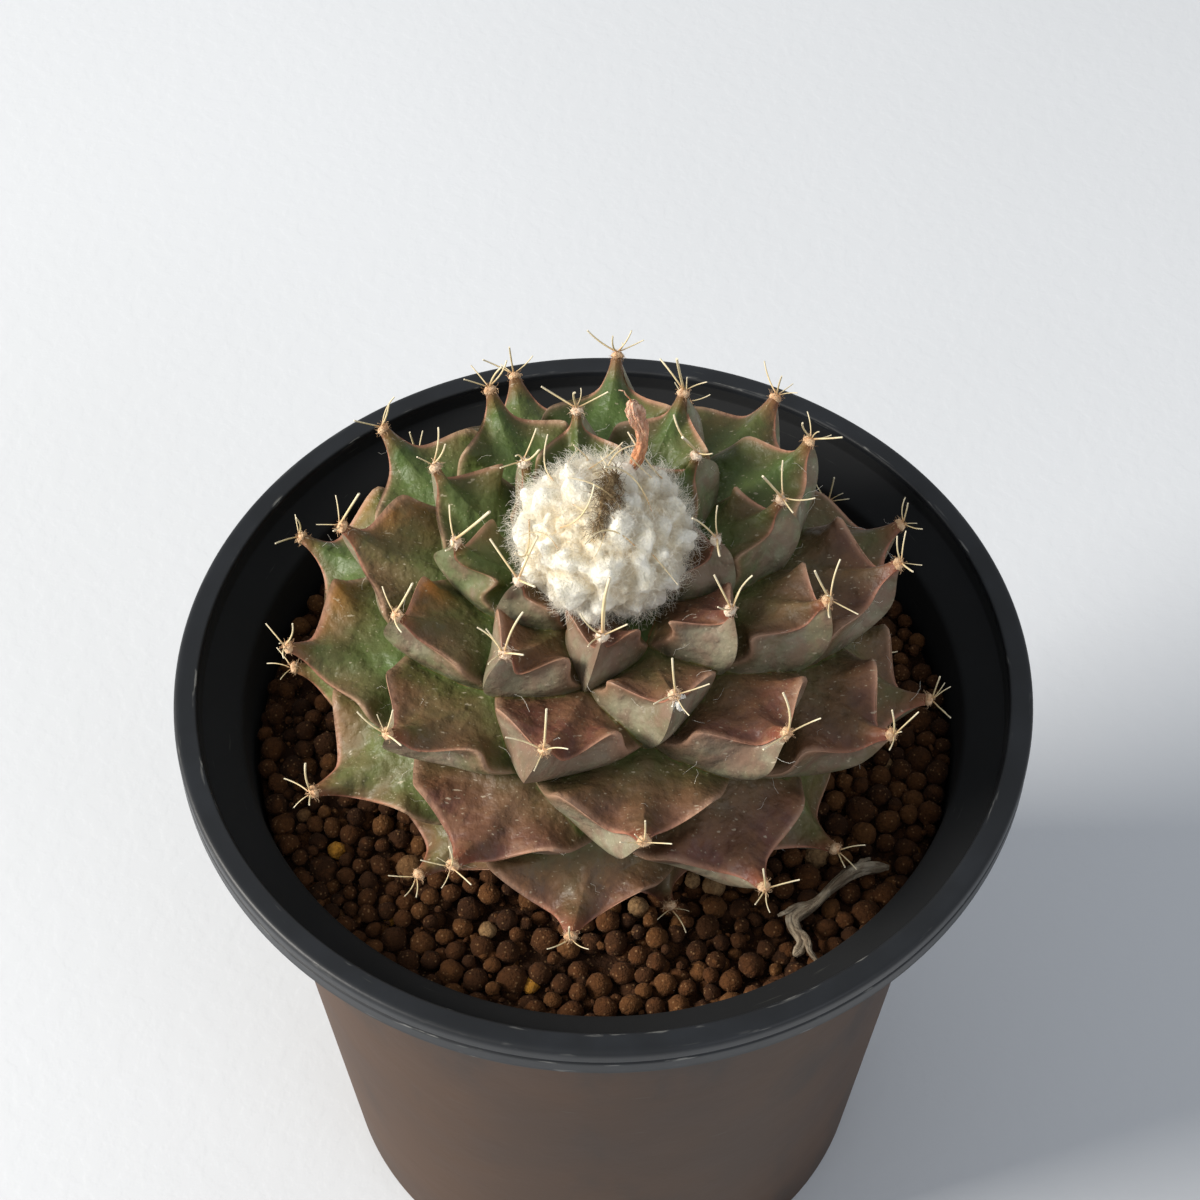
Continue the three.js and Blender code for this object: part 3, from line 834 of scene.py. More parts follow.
# how fast each part of a tubercle falls from its tip, and the height of its shoulder as a share of the reach
RIDGE, UPPER_FACE, LOWER_FACE, KEEL = (6.0, 0.6), (2.6, 0.12), (3.2, 0.33), (1.5, 0.56)
FOOT_SIDE, FOOT_DOWN = (26.25, 1.5), (6.25, 6.5)  # from the foot's middle, in degrees of turn and in places
CURL, SWELL = 0.7, 1.2  # millimetres that the ridges curl and the faces swell
GOLDEN = {13: 1.0, 18: 0.5, 26: 0.45, 31: 0.4}  # places with an orange patch, and how strong it is
SUN_AZIMUTH = 15  # degrees, the side turned to the sun


def tubercle(spiral, place, rng):
    """One fleshy tubercle as points, faces and the values that its skin is coloured by."""
    tip, base, out, across, up = spiral.frame(place)
    reach = tip - base
    low = place / spiral.plant.count
    spin = np.arange(TURNS) / TURNS
    turn = 2 * math.pi * spin - 0.16 * np.sin(8 * math.pi * spin)  # closer together at the ridges
    share = np.linspace(0, 1, RINGS + 1)[1:] ** 1.25
    turn, share = np.meshgrid(turn, share)
    side, down = np.cos(turn), np.sin(turn)

    # its foot on the core: a diamond, drawn out below
    girth = (abs(side) ** 1.2 + abs(down) ** 1.2) ** (1 / 1.2)
    below = (down > 0) * np.clip(1 - abs(side) / 0.8, 0, 1) ** 1.5
    size = 1.07 * share / girth * (1 + 0.14 * below)
    azimuth = spiral.azimuth(place) + np.radians(size * (side * FOOT_SIDE[0] - down * FOOT_DOWN[0]))
    foot = spiral.core_point(azimuth, place + size * (side * FOOT_SIDE[1] + down * FOOT_DOWN[1]))

    # how the flesh falls from the tip: slowly on the ridges and the keel, fast between them
    on_ridge = np.clip(1 - np.sqrt((down**2 + 0.008) / 1.008) ** 0.9, 0, 1)
    form = []
    for lower, keel, upper, ridge in zip(LOWER_FACE, KEEL, UPPER_FACE, RIDGE):
        face = np.where(down > 0, lower + (keel - lower) * below, upper)
        form.append(face + (ridge - face) * on_ridge)
    fall, shoulder = form
    fall = fall * (0.6 + 0.5 * low)  # the lower, the longer the beak
    shoulder = shoulder + np.where(side < 0, *rng.uniform(-0.09, 0.09, 2)) * on_ridge
    height = (1 - shoulder) * (1 - share) ** fall + shoulder * (1 - share**5)
    height[-1] = -0.1  # the last ring stands inside the core
    points = foot + height[..., None] * reach
    end = 0.85 * np.exp(-share / 0.07)
    points = points + (end * side)[..., None] * across - (end * down)[..., None] * up
    hook = spiral.plant.hook / MM * (0.6 + 1.2 * low)
    points = points - (hook * np.sin(math.pi * np.clip(height, 0, 1)))[..., None] * up

    # the ridges rise into a lobe at the shoulder, draw in below it and curl; the faces swell
    left, right = rng.uniform(0.35, 1.2, 2) * spiral.plant.wave / MM
    middle = np.where(side < 0, rng.uniform(0.5, 0.68), rng.uniform(0.5, 0.68))
    lobe = bell(share - middle, 0.19) * (1 - share**6)
    waist = bell(share - middle + 0.34, 0.14)
    wing = np.where(side < 0, left, right) * on_ridge**1.2
    points = points + (wing * (lobe - 0.35 * waist))[..., None] * up
    points = points + (np.sign(side) * on_ridge**1.2 * (2.0 * lobe - 0.7 * waist))[..., None] * across
    phase = rng.uniform(0, 6.28, 3)
    free = share * (1 - share**4)
    curl = CURL * np.sin(11 * share + phase[2] + 2 * (side < 0)) * free * on_ridge
    points = points + curl[..., None] * up
    swell = SWELL * np.sin(5 * share + 2 * side + phase[0]) * np.sin(4 * side + phase[1]) * free
    points = points + swell[..., None] * out

    points = np.vstack([points.reshape(-1, 3), [tip - 0.3 * out], [base - 0.3 * reach]])
    apex, root = RINGS * TURNS, RINGS * TURNS + 1
    faces = []
    for i in range(TURNS):
        j = (i + 1) % TURNS
        faces.append((apex, j, i))
        for r in range(RINGS - 1):
            near, far = r * TURNS, (r + 1) * TURNS
            faces.append((near + i, near + j, far + j, far + i))
        faces.append((far + i, far + j, root))

    # purple where it faces the sun, and less on the lowest tubercles
    facing = 0.5 + 0.5 * math.cos(spiral.azimuth(place) - math.radians(SUN_AZIMUTH))
    sun = -0.2 + 0.82 * facing + rng.uniform(-0.2, 0.25) - 0.55 * max(low - 0.62, 0) / 0.38
    sun = np.clip(sun, 0, 1) + (0.05 + 0.3 * facing) * np.clip((0.9 - share) / 0.55, 0, 1)
    sun = sun + 0.3 * (0.5 - abs(down)) - 0.25 * (share > 0.5) * (share - 0.5)
    gold = GOLDEN.get(place, 0.1 * rng.random())
    values = {
        "share": share,
        "ridge": bell(down, 0.085) * np.clip((share - 0.04) * 12, 0, 1) * (1 - 0.6 * share**3),
        "keel": bell(side, 0.16) * (down > 0) * (1 - share),
        "under": np.clip(down * 2.5, 0, 1),
        "sun": np.clip(sun, 0, 1),
        "pale": np.full_like(share, np.clip((low - 0.6) * 2.2, 0, 0.8)),
        "gold": gold * bell(share - 0.55, 0.25) * (side < 0) * on_ridge**2.5,
        "tone": np.full_like(share, rng.random()),
    }
    ends = {"share": (0, 1)}
    columns = {
        label: np.append(column.ravel(), ends.get(label, (column[0, 0], column[-1, 0])))
        for label, column in values.items()
    }
    return points, faces, columns


# ------------------------------------------------------------------ operators
class PieceOperator(bpy.types.Operator):
    """What every operator here shares."""

    bl_options = {"REGISTER", "UNDO"}

    def execute(self, context):
        self.build(context.scene.potted_cactus)
        return {"FINISHED"}


class CACTUS_OT_pot(PieceOperator):
    """Nursery pot: thin moulded wall, rolled rim with a hanging band, foot ring and drain holes."""

    bl_idname = "cactus.nursery_pot"
    bl_label = "Nursery Pot"

    SEGMENTS, DRILL_SEGMENTS, DRILL_DEPTH = 240, 40, 20
    FINE_STEP, COARSE_STEP = 0.45, 30  # longest stretch of the profile at the rim, and below it

    def build(self, settings):
        pot = settings.pot
        rim, height, land, band = pot.rim / 2 / MM, pot.height / MM, pot.land / MM, pot.band / MM
        base, wall, foot = pot.base / 2 / MM, pot.wall / MM, pot.foot / MM
        inner, ledge_foot = rim - land, height - pot.drop / MM
        mouth, floor_top = inner - pot.ledge / MM, foot + pot.floor / MM
        foot_inside = base - pot.foot_width / MM
        groove = height - 0.45 * band
        corners = [
            (0, foot), (foot_inside, foot, 0.5), (foot_inside, 0, 0.4),
            (base - 0.2, 0, 0.5), (base, 1.0, 0.5), (mouth + wall, ledge_foot, 1.0),
            (inner - 0.2, height - 3.4, 0.6), (inner + 0.6, height - wall - 0.4, 0.7),
            (rim - wall, height - wall - 0.3, 0.7), (rim - wall, height - band, 0.25),
            (rim, height - band, 0.4), (rim, groove - 0.32, 0.12), (rim - 0.34, groove, 0.15),
            (rim, groove + 0.32, 0.12), (rim, height, 0.9), (inner, height, 0.45),
            (inner - 0.55, height - 3.0, 0.5), (mouth, ledge_foot, 1.6),
            (base - wall, floor_top, 1.5), (0, floor_top),
        ]
        fine_from = height - band - 2
        profile = refined(
            filleted(corners), lambda level: self.FINE_STEP if level > fine_from else self.COARSE_STEP
        )
        radius, level = profile[:, 0], profile[:, 1]
        edges = (  # radius, height, size and amount of each worn edge
            (rim - 0.1, height - band + 0.1, 0.5, 1.0), (rim, groove - 0.3, 0.22, 0.8),
            (inner + 0.1, height - 0.1, 0.3, 0.9), (rim - 0.2, height - 0.2, 0.3, 0.35),
        )
        wear = sum(
            amount * np.exp(-(((radius - r) ** 2 + (level - z) ** 2) / size**2))
            for r, z, size, amount in edges
        )
        order = np.arange(len(profile)) / len(profile)
        below = (level < height - band - 0.2) & (radius > mouth - 3 - (height - level) * 0.1)
        outside = below & (order < 0.45)
        # the inside, which the material paints darker as painted shade (it is also made rougher)
        inside = (level < height - 1.0) & (order > 0.55) & (radius < inner)
        values = {"wear": np.clip(wear, 0, 1), "wall": outside.astype(float), "inside": inside.astype(float)}
        values["matt"] = np.clip(0.12 + 0.4 * values["wear"] + 0.35 * outside + 0.7 * inside, 0, 1)
        body = make_object("nursery_pot", turned("nursery_pot", profile, self.SEGMENTS, values))

        drills = [(0.0, 0.0, pot.drain_middle / 2)]
        for k in range(pot.drains):
            x, y, _ = ring(pot.drain_circle / 2, 2 * math.pi * k / pot.drains, 0.0)
            drills.append((x, y, pot.drain / 2))
        bits = bpy.data.meshes.new("drain_drills")
        with editing(bits) as edit:
            for x, y, r in drills:
                made = bmesh.ops.create_cone(
                    edit, cap_ends=True, segments=self.DRILL_SEGMENTS, radius1=r, radius2=r,
                    depth=self.DRILL_DEPTH * MM,
                )
                bmesh.ops.translate(edit, vec=(x, y, 0), verts=made["verts"])
        cutter = make_object("drain_drills", bits)
        cut = body.modifiers.new("drain_holes", "BOOLEAN")
        cut.operation, cut.solver, cut.object = "DIFFERENCE", "EXACT", cutter
        applied(body, moulded_polypropylene(settings.colours), 35)
        bpy.data.objects.remove(cutter)
        settle(body, "pot_plastic", "pot")


def spaced(rng, count, sizes, inner, outer, passes):
    """Places in a ring of ground for discs of the given sizes, pushed apart until they just touch."""
    radius = np.sqrt(rng.uniform(inner**2, outer**2, count))
    turn = rng.uniform(0, 2 * math.pi, count)
    spot = np.stack([radius * np.sin(turn), radius * np.cos(turn)], 1)
    reach = sizes[:, None] + sizes[None, :]
    for _ in range(passes):
        gap = spot[:, None, :] - spot[None, :, :]
        far = np.sqrt((gap**2).sum(-1)) + 1e-6
        push = np.clip(reach * 0.97 - far, 0, None)
        np.fill_diagonal(push, 0)
        spot = spot + 0.35 * ((push / far)[..., None] * gap).sum(1)
        radius = np.hypot(*spot.T)
        spot *= (np.clip(radius, inner + 0.2 * sizes, outer - sizes) / radius)[:, None]
    return spot


def strewn(rng, count, inner, outer):
    """Chance places in a ring of ground."""
    turn, far = rng.uniform(0, 2 * math.pi, count), np.sqrt(rng.uniform(inner**2, outer**2, count))
    return np.column_stack([far * np.sin(turn), far * np.cos(turn)])


class CACTUS_OT_bed(PieceOperator):
    """Bed of loose baked-clay pebbles over a packed mass of them, with chips between."""

    bl_idname = "cactus.clay_bed"
    bl_label = "Clay Pebble Bed"

    MASS_DEPTH, WALL_SLOPE, MASS_SEGMENTS, MASS_RINGS = 3.2, 9.4, 120, 26
    LAYERS = ((560, 2.0), (640, 0.35))  # pebbles in each layer, and how far its tops lie down
    HEAPED, HEAP_RISE, CHIPS = 150, 1.3, 750
    STEM_ROOM, HEAP_ROOM = 20.0, 24  # radius round the stem that holds no pebbles
    PASSES = 70

    def build(self, settings):
        bed = settings.bed
        rng = np.random.default_rng(bed.seed)
        clay = baked_clay(settings.colours)
        top, bottom = bed.top / MM, BED_LOW[2]
        wall_top, wall_foot = BED_HIGH[0], BED_HIGH[0] - self.WALL_SLOPE
        under = top - self.MASS_DEPTH
        corners = [(0, bottom), (wall_foot, bottom, 1), (wall_top - 0.5, under, 1), (0, under)]
        steps = np.linspace(wall_top - 2, 0, self.MASS_RINGS)
        lid = np.stack([steps, np.full(self.MASS_RINGS, under)], 1)
        profile = np.vstack([filleted(corners)[:-1], lid])
        mesh = turned("clay_bed_mass", profile, self.MASS_SEGMENTS)
        for vertex in mesh.vertices:
            if vertex.co.z > (under - 1) * MM:
                vertex.co.z += 0.7 * MM * ripple(vertex.co / MM, 2.4)
        settle(make_object("clay_bed_mass", mesh, clay), "baked_clay", "substrate")

        outer = BED_HIGH[0] - 0.2
        layers = []
        for count, depth in self.LAYERS:
            sizes = np.clip(rng.normal(1, bed.spread, count), 0.55, 1.65) * bed.pebble / 2 / MM
            spots = spaced(rng, count, sizes, self.STEM_ROOM, outer, self.PASSES)
            layers.append((spots, top - depth - sizes * 0.75 + rng.normal(0, 0.35, count), sizes))
        spots, heights, sizes = (np.concatenate(column) for column in zip(*layers))
        heap = np.clip(rng.normal(1, bed.spread, self.HEAPED), 0.6, 1.5) * bed.pebble / 2 / MM * 0.85
        for spot, size in zip(strewn(rng, self.HEAPED, self.HEAP_ROOM, outer - 2), heap):
            away = np.hypot(*(spots - spot).T)
            touch = away < sizes + size
            if not touch.any():
                continue
            rest = np.max(heights[touch] + np.sqrt((sizes[touch] + size) ** 2 - away[touch] ** 2))
            if rest + size > top + self.HEAP_RISE:
                continue
            spots = np.vstack([spots, spot])
            heights, sizes = np.append(heights, rest), np.append(sizes, size)
        count = len(spots)
        tint = rng.uniform(0, 0.94, count)
        rare = rng.random(count)  # a few pebbles are orange, and a few are beige
        tint = np.where(rare < 0.012, rng.uniform(0.97, 1.0, count), np.where(rare < 0.02, 0.95, tint))
        values = {"size": sizes * MM, "tint": tint}
        source = point_mesh("pebble_places", np.column_stack([spots, heights]), values)
        tree = pebble_tree()
        pebbles = grown(
            "clay_pebbles", source, tree, segments=9, rings=6, squash=0.14,
            lump_size=1.5 * MM, lump_depth=0.75 * MM, seed=3, material=clay,
        )
        settle(pebbles, "baked_clay", "substrate")

        count = self.CHIPS
        places = strewn(rng, count, self.STEM_ROOM, outer - 0.8)
        places = np.column_stack([places, np.full(count, top - 1.7) + rng.normal(0, 0.45, count)])
        values = {"size": rng.uniform(0.3, 0.75, count) * bed.chip, "tint": rng.uniform(0.1, 0.9, count)}
        chips = grown(
            "clay_chips", point_mesh("chip_places", places, values), tree, segments=6, rings=4,
            squash=0.5, lump_size=0.6 * MM, lump_depth=0.5 * MM, seed=8, material=clay,
        )
        settle(chips, "baked_clay", "substrate")


class CACTUS_OT_stem(PieceOperator):
    """Stem: a squat core with one fleshy, ridged tubercle at each place of the spiral."""

    bl_idname = "cactus.stem"
    bl_label = "Cactus Stem"

    SEGMENTS, CORE_RINGS, BURIED = 96, 26, 1.2
    # share 1 gives the core the darker green of the tubercles' feet, painted shade between the tubercles
    CORE_VALUES = {
        "share": 1.0, "ridge": 0, "keel": 0, "under": 0, "sun": 0, "pale": 0, "gold": 0, "tone": 0.5,
    }

    def build(self, settings):
        spiral, rng = Spiral(settings), np.random.default_rng(settings.plant.seed)
        parts = bpy.data.collections.new("tubercles")
        bpy.context.scene.collection.children.link(parts)
        for place in range(settings.plant.count):
            points, faces, values = tubercle(spiral, place, rng)
            points[:, 2] = np.maximum(points[:, 2], spiral.ground - self.BURIED)
            mesh = make_mesh(f"tubercle_{place:02d}", points, faces, values)
            parts.objects.link(bpy.data.objects.new(mesh.name, mesh))
        neck, neck_foot = spiral.NECK_SHARE * spiral.core, spiral.ground - spiral.NECK_DEPTH
        line = [(0, neck_foot), (neck, neck_foot)]
        for polar in np.linspace(math.pi - math.asin(spiral.NECK_SHARE), 0, self.CORE_RINGS):
            rise = math.cos(polar) * (spiral.CORE_RISE if polar < math.pi / 2 else spiral.CORE_DROP)
            line.append((spiral.core * math.sin(polar), spiral.ground + spiral.CORE_EQUATOR + rise))
        values = {label: np.full(len(line), amount) for label, amount in self.CORE_VALUES.items()}
        core = turned("cactus_stem_skin", np.array(line), self.SEGMENTS, values, None)
        stem = make_object("cactus_stem_skin", core)
        union = stem.modifiers.new("union", "BOOLEAN")
        union.operation, union.solver = "UNION", "MANIFOLD"
        union.operand_type, union.collection = "COLLECTION", parts
        applied(stem, waxy_skin(settings.colours), 62)
        for part in list(parts.objects):
            bpy.data.objects.remove(part)
        bpy.data.collections.remove(parts)
        settle(stem, "cactus_skin", "cactus_stem")


class CACTUS_OT_areoles(PieceOperator):
    """Areoles: a felted pad on each tip, with its short hairs and its fan of straw spines."""

    bl_idname = "cactus.areoles"
    bl_label = "Areoles and Spines"

    # each spine of a fan: how far it points out, across and up, and its length
    CROWN_FAN = [(0.25, 0.0, 1.0, 1.25), (0.55, 0.95, 0.25, 0.9), (0.55, -0.95, 0.25, 0.9)]
    FOOT_FAN = [(0.8, 0.85, 0.25, 0.8), (0.8, -0.85, 0.25, 0.8), (1.0, 0.0, -0.1, 0.9)]
    FOOT_FROM = 38  # the last place with the crown's fan

    def build(self, settings):
        spiral, crown = Spiral(settings), settings.crown
        rng = np.random.default_rng(crown.seed)
        felt, straw = areole_felt(settings.colours), straw_spine(settings.colours)
        pads, feet, aims, reaches = [], [], [], []
        for place in range(settings.plant.count):
            tip, _, out, across, up = spiral.frame(place)
            fresh = float(np.clip(1.1 - place / 14, 0.1, 1))

            def mould(point):
                """A point of the pad: a lumpy, flattened ball across the tip."""
                x, y, z = point
                swell = 1 + 0.22 * ripple((x + place, y, z), 0.6)
                form = 0.95 * x * across + 0.7 * y * out + 0.85 * z * up
                return tip - 0.25 * out + swell * form, fresh

            pads.append(moulded_ball("pad", 3, "fresh", mould))
            if np.dot(np.cross(across, out), up) < 0:
                pads[-1].flip_normals()
            fan = list(self.CROWN_FAN)
            if rng.random() < 0.6:
                fan.append((0.9, rng.uniform(-0.4, 0.4), -0.45, 0.65))
            if rng.random() < 0.3:
                fan.append((0.8, rng.choice((-0.8, 0.8)), 0.8, 0.75))
            if place > self.FOOT_FROM:
                fan = self.FOOT_FAN
            for ahead, aside, rise, longer in fan:
                stray = rng.normal(0, 0.16, 3)
                aim = unit(ahead * out + aside * across + rise * (up + 0.5 * np.array((0, 0, 1))) + stray)
                feet.append(tip + 0.2 * out + 0.45 * aim)
                aims.append(aim)
                longer = crown.spine * longer * rng.uniform(0.75, 1.2)
                reaches.append(longer * (1.2 - 0.5 * place / spiral.plant.count))
        mesh = joined("areole_pads", pads)
        pieces = [make_object("areole_pads", mesh, felt)]
        pieces.append(grown(
            "areole_hairs", mesh.copy(), fibre_tree(), density=6e6, fibre_length=0.6 * MM,
            slenderness=0.04, tuft_size=0.7 * MM, lift=0.5, seed=4, material=felt,
        ))
        source = point_mesh("spine_places", feet, {"reach": reaches}, {"aim": aims})
        pieces.append(grown(
            "areole_spines", source, spine_tree(), slenderness=0.025, bow=0.12, seed=2, material=straw
        ))
        for piece in pieces:
            settle(piece, "spine", *AREOLES)


class CACTUS_OT_litter(PieceOperator):
    """Stray wool fibres on the skin, and a few papery shreds that hang from one areole."""

    bl_idname = "cactus.stray_fibres"
    bl_label = "Stray Fibres"

    SHREDS, SHRED_PLACE, SHRED_STEPS = 5, 11, 12

    @staticmethod
    def fold(turns, share):
        """Flattens a shred and twists it along its length."""
        return -0.8 * abs(np.sin(turns + 3 * share))

    def build(self, settings):
        spiral, rng = Spiral(settings), np.random.default_rng(settings.crown.seed + 7)
        wool = bpy.data.materials["plant_wool"]
        skin = bpy.data.objects["cactus_stem_skin"].data.copy()
        strays = grown(
            "stray_fibres", skin, fibre_tree(), density=1.1e4, fibre_length=2.6 * MM,
            slenderness=0.008, tuft_size=6 * MM, lift=0.12, seed=21, material=wool,
        )
        settle(strays, "crown_wool", "wool_crown")
        tip, _, out, across, up = spiral.frame(self.SHRED_PLACE)
        shreds = []
        for k in range(self.SHREDS):
            start = tip - 0.4 * up + rng.normal(0, 0.35, 3)
            drift = rng.normal(0, 0.5, 3) + 0.3 * out
            path = []
            for t in np.linspace(0, 1, self.SHRED_STEPS):
                hang = (0, -0.4 * t, -2.6 * t * rng.uniform(0.8, 1.2))
                path.append(start + t * drift + hang + 0.3 * np.sin(5 * t + k) * across)
            wide = 0.38 * np.sin(np.linspace(0.3, 3.0, self.SHRED_STEPS))
            shreds.append(swept("shred", path, wide, 10, self.fold))
        shred = make_object("papery_shreds", joined("papery_shreds", shreds), wool)
        settle(shred, "crown_wool", "wool_crown")


class CACTUS_OT_wool(PieceOperator):
    """Woolly crown: a clumpy dome under curls of wool, with long golden bristles through it."""

    bl_idname = "cactus.wool_crown"
    bl_label = "Woolly Crown"

    CLUMP, CURL, GRAIN, SUNK = 4.2, 1.5, 0.2, 1.3  # heights of the dome's lumps, and how far it sinks
    LAYERS = (("wool_fibres", 2.4, 0.12, 6), ("wool_curls", 5.0, 0.25, 16))  # tuft size, lift and seed
    BRISTLES = 19

    def build(self, settings):
        crown = settings.crown
        rng = np.random.default_rng(crown.seed + 1)
        wool, straw = plant_wool(settings.colours), straw_spine(settings.colours)
        centre, half = (WOOL_LOW + WOOL_HIGH) / 2, (WOOL_HIGH - WOOL_LOW) / 2
        lump = crown.lump / MM

        def mould(spot):
            """A point of the dome, raised into lumps, and how deep in a hollow it is, which the wool's
            material paints as shade.
            """
            at = spot * half
            clump = self.CLUMP * abs(ripple(at, lump, 3.0))
            clump = clump + self.CURL * abs(ripple(at, lump * 0.45, 7.0)) + self.GRAIN * ripple(at, 0.7, 1.0)
            place = centre + at * 0.97 + unit(spot / half) * (clump - self.SUNK)
            return place, max(0.0, 1 - clump / 1.5)

        mesh = moulded_ball("wool_dome", 6, "hollow", mould)
        mesh.shade_smooth()
        for name, tuft, lift, seed in self.LAYERS:
            fluff = grown(
                name, mesh.copy(), fibre_tree(), density=3.6e6, fibre_length=crown.fibre,
                slenderness=0.007, tuft_size=tuft * MM, lift=lift, seed=seed, material=wool,
            )
            settle(fluff, "crown_wool", "wool_crown")
        settle(make_object("wool_dome", mesh, wool), "crown_wool", "wool_crown")
        feet, aims, reaches = [], [], []
        for k in range(self.BRISTLES):
            turn = k * 2.4 + rng.uniform(-0.3, 0.3)
            far = math.sqrt((k + 0.8) / (self.BRISTLES + 1)) * 0.93
            spot = np.array((far * math.sin(turn), far * math.cos(turn), math.sqrt(1 - far * far)))
            drift = np.cross(spot, rng.normal(0, 1, 3))
            feet.append(centre + spot * (half + 0.2))
            aims.append(unit(0.3 * spot + unit(drift) + (-0.15, 0, 0.05)))
            reaches.append(crown.bristle * rng.uniform(0.4, 0.9))
        source = point_mesh("bristle_places", feet, {"reach": reaches}, {"aim": aims})
        bristles = grown(
            "crown_bristles", source, spine_tree(), slenderness=0.013, bow=0.35, seed=9, material=straw
        )
        settle(bristles, "crown_wool", "wool_crown")


class CACTUS_OT_flowers(PieceOperator):
    """Spent flowers: brown fluff in the wool's top, and one dried tube with its thread."""

    bl_idname = "cactus.spent_flowers"
    bl_label = "Spent Flowers"

    FLUFF_BENDS = (
        (0.8, 2.0, 0.5), (0.4, 0.8, 1.1), (-0.2, -0.8, 1.0),
        (-0.7, -2.4, 0.6), (-1.3, -4.2, -0.1), (-1.6, -5.8, -1.3),
    )
    FLUFF_STEPS, TUBE_STEPS = 30, 44
    TUBE_SHARES = (-0.12, 0.1, 0.4, 0.62, 0.8, 0.92, 1)  # along the dried tube
    TUBE_RADII = (0.5, 0.85, 0.7, 0.85, 1.1, 0.95, 0.4)  # its radius there
    THREAD_BENDS = ((0, 0, -0.6), (-0.3, 0, 0.4), (-0.9, 0.1, 1.2), (-1.2, 0.2, 1.9), (-1.9, 0.2, 2.0))
    THREAD_RADII = (0.12, 0.11, 0.1, 0.09, 0.06)

    def build(self, settings):
        fluff, petal = dry_fluff(settings.colours), dry_petal(settings.colours)
        low, high = (np.array(corner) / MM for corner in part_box("withered_flower"))
        bends = (low + high) / 2 + np.array(self.FLUFF_BENDS)
        steps, last = self.FLUFF_STEPS, len(bends) - 1
        path = [np.interp(np.linspace(0, last, steps), range(last + 1), column) for column in bends.T]
        radii = 0.55 + 0.15 * np.sin(np.linspace(0, 14, steps))
        radii = radii * np.sin(np.linspace(0.35, 3.0, steps)) ** 0.6
        mat = waves((0.25, 0, 5, 9), (0.15, 0, 9, -20))
        body = swept("withered_fluff", np.array(path).T, radii, 24, mat)
        hairs = grown(
            "withered_hairs", body.copy(), fibre_tree(), density=2.0e7, fibre_length=2.3 * MM,
            slenderness=0.013, tuft_size=7 * MM, lift=0.1, seed=12, material=fluff,
        )
        for piece in (make_object("withered_fluff", body, fluff), hairs):
            settle(piece, "dry_fluff", "withered_flower")

        low, high = (np.array(corner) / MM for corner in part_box("dry_flower_tube"))
        foot = np.array(((low[0] + high[0]) / 2, low[1] + 0.9, low[2]))
        share = np.linspace(self.TUBE_SHARES[0], 1, self.TUBE_STEPS)
        sway = 0.75 * np.sin(5.2 * share - 0.6)
        path = foot + np.column_stack([sway, 1.3 * share, (high[2] - low[2]) * share])
        radii = np.interp(share, self.TUBE_SHARES, self.TUBE_RADII)
        creases = waves((0.1, 0.22, 5, 7), (0.056, 0.14, 11, -16))
        flower = swept("dry_flower", path, radii, 28, creases)
        thread = swept("flower_thread", path[-1] + np.array(self.THREAD_BENDS), self.THREAD_RADII, 6)
        for mesh in (flower, thread):
            settle(make_object(mesh.name, mesh, petal), "dry_petal", "dry_flower_tube")


def smooth_path(points, count):
    """The points joined by a smooth line."""
    curve = []
    padded = np.vstack([2 * points[0] - points[1], points, 2 * points[-1] - points[-2]])
    for value in np.linspace(0, len(points) - 1 - 1e-6, count):
        i, f = int(value), value - int(value)
        a, b, c, d = padded[i : i + 4]
        bend = (2 * a - 5 * b + 4 * c - d) * f**2 + (3 * b - a - 3 * c + d) * f**3
        curve.append(0.5 * (2 * b + (c - a) * f + bend))
    return np.array(curve)


class CACTUS_OT_twig(PieceOperator):
    """Dry stalk lying on the pebbles: forked, bent and peeling."""

    bl_idname = "cactus.dry_stalk"
    bl_label = "Dry Stalk"

    STEPS, FORK_STEPS = 60, 24
    ROUTE = ((2.5, 4), (-2, 3.5), (-5.5, 1), (-8.5, -2), (-12, -5), (-11, -9), (-12, -11))
    FORKS = (  # step of the stalk that it leaves, its bends from there, its radius
        (30, ((0, 0, 0), (-2.5, -0.5, 0.5), (-4.2, -1.8, 0.9), (-5.5, -2.2, 0.6)), 0.5),
        (44, ((0, 0, 0), (1.5, -1.6, 0.4), (1.8, -3.6, 0.6), (3.0, -5.2, 0.3)), 0.62),
        (12, ((0, 0, 0), (1.2, 1.2, 0.7), (2.6, 1.5, 1.1)), 0.42),
    )

    def build(self, settings):
        spiral = Spiral(settings)
        end = ring(spiral.mouth - 4.3, math.radians(52), spiral.ground + 1.05)
        crinkle = waves((0.22, 0, 3, 5), (0.12, 0, 7, -23))
        main = smooth_path(np.array([end + (x, y, 0) for x, y in self.ROUTE]), self.STEPS)
        main[:, 2] += 0.35 * np.sin(np.linspace(0, 9, self.STEPS))
        knots = 0.75 + 0.45 * np.sin(np.linspace(0.2, 7.5, self.STEPS)) ** 2
        ends = np.interp(np.linspace(0, 1, self.STEPS), (0, 0.05, 0.93, 1), (0.5, 1, 1, 0.4))
        parts = [swept("stalk", main, 0.85 * knots * ends, 14, crinkle)]
        for start, bends, girth in self.FORKS:
            path = smooth_path(main[start] + np.array(bends), self.FORK_STEPS)
            parts.append(swept("fork", path, girth * np.linspace(1.1, 0.45, self.FORK_STEPS), 10, crinkle))
        stalk = make_object("dry_stalk", joined("dry_stalk", parts), dry_stalk(settings.colours))
        settle(stalk, "dry_twig", "dry_twig")


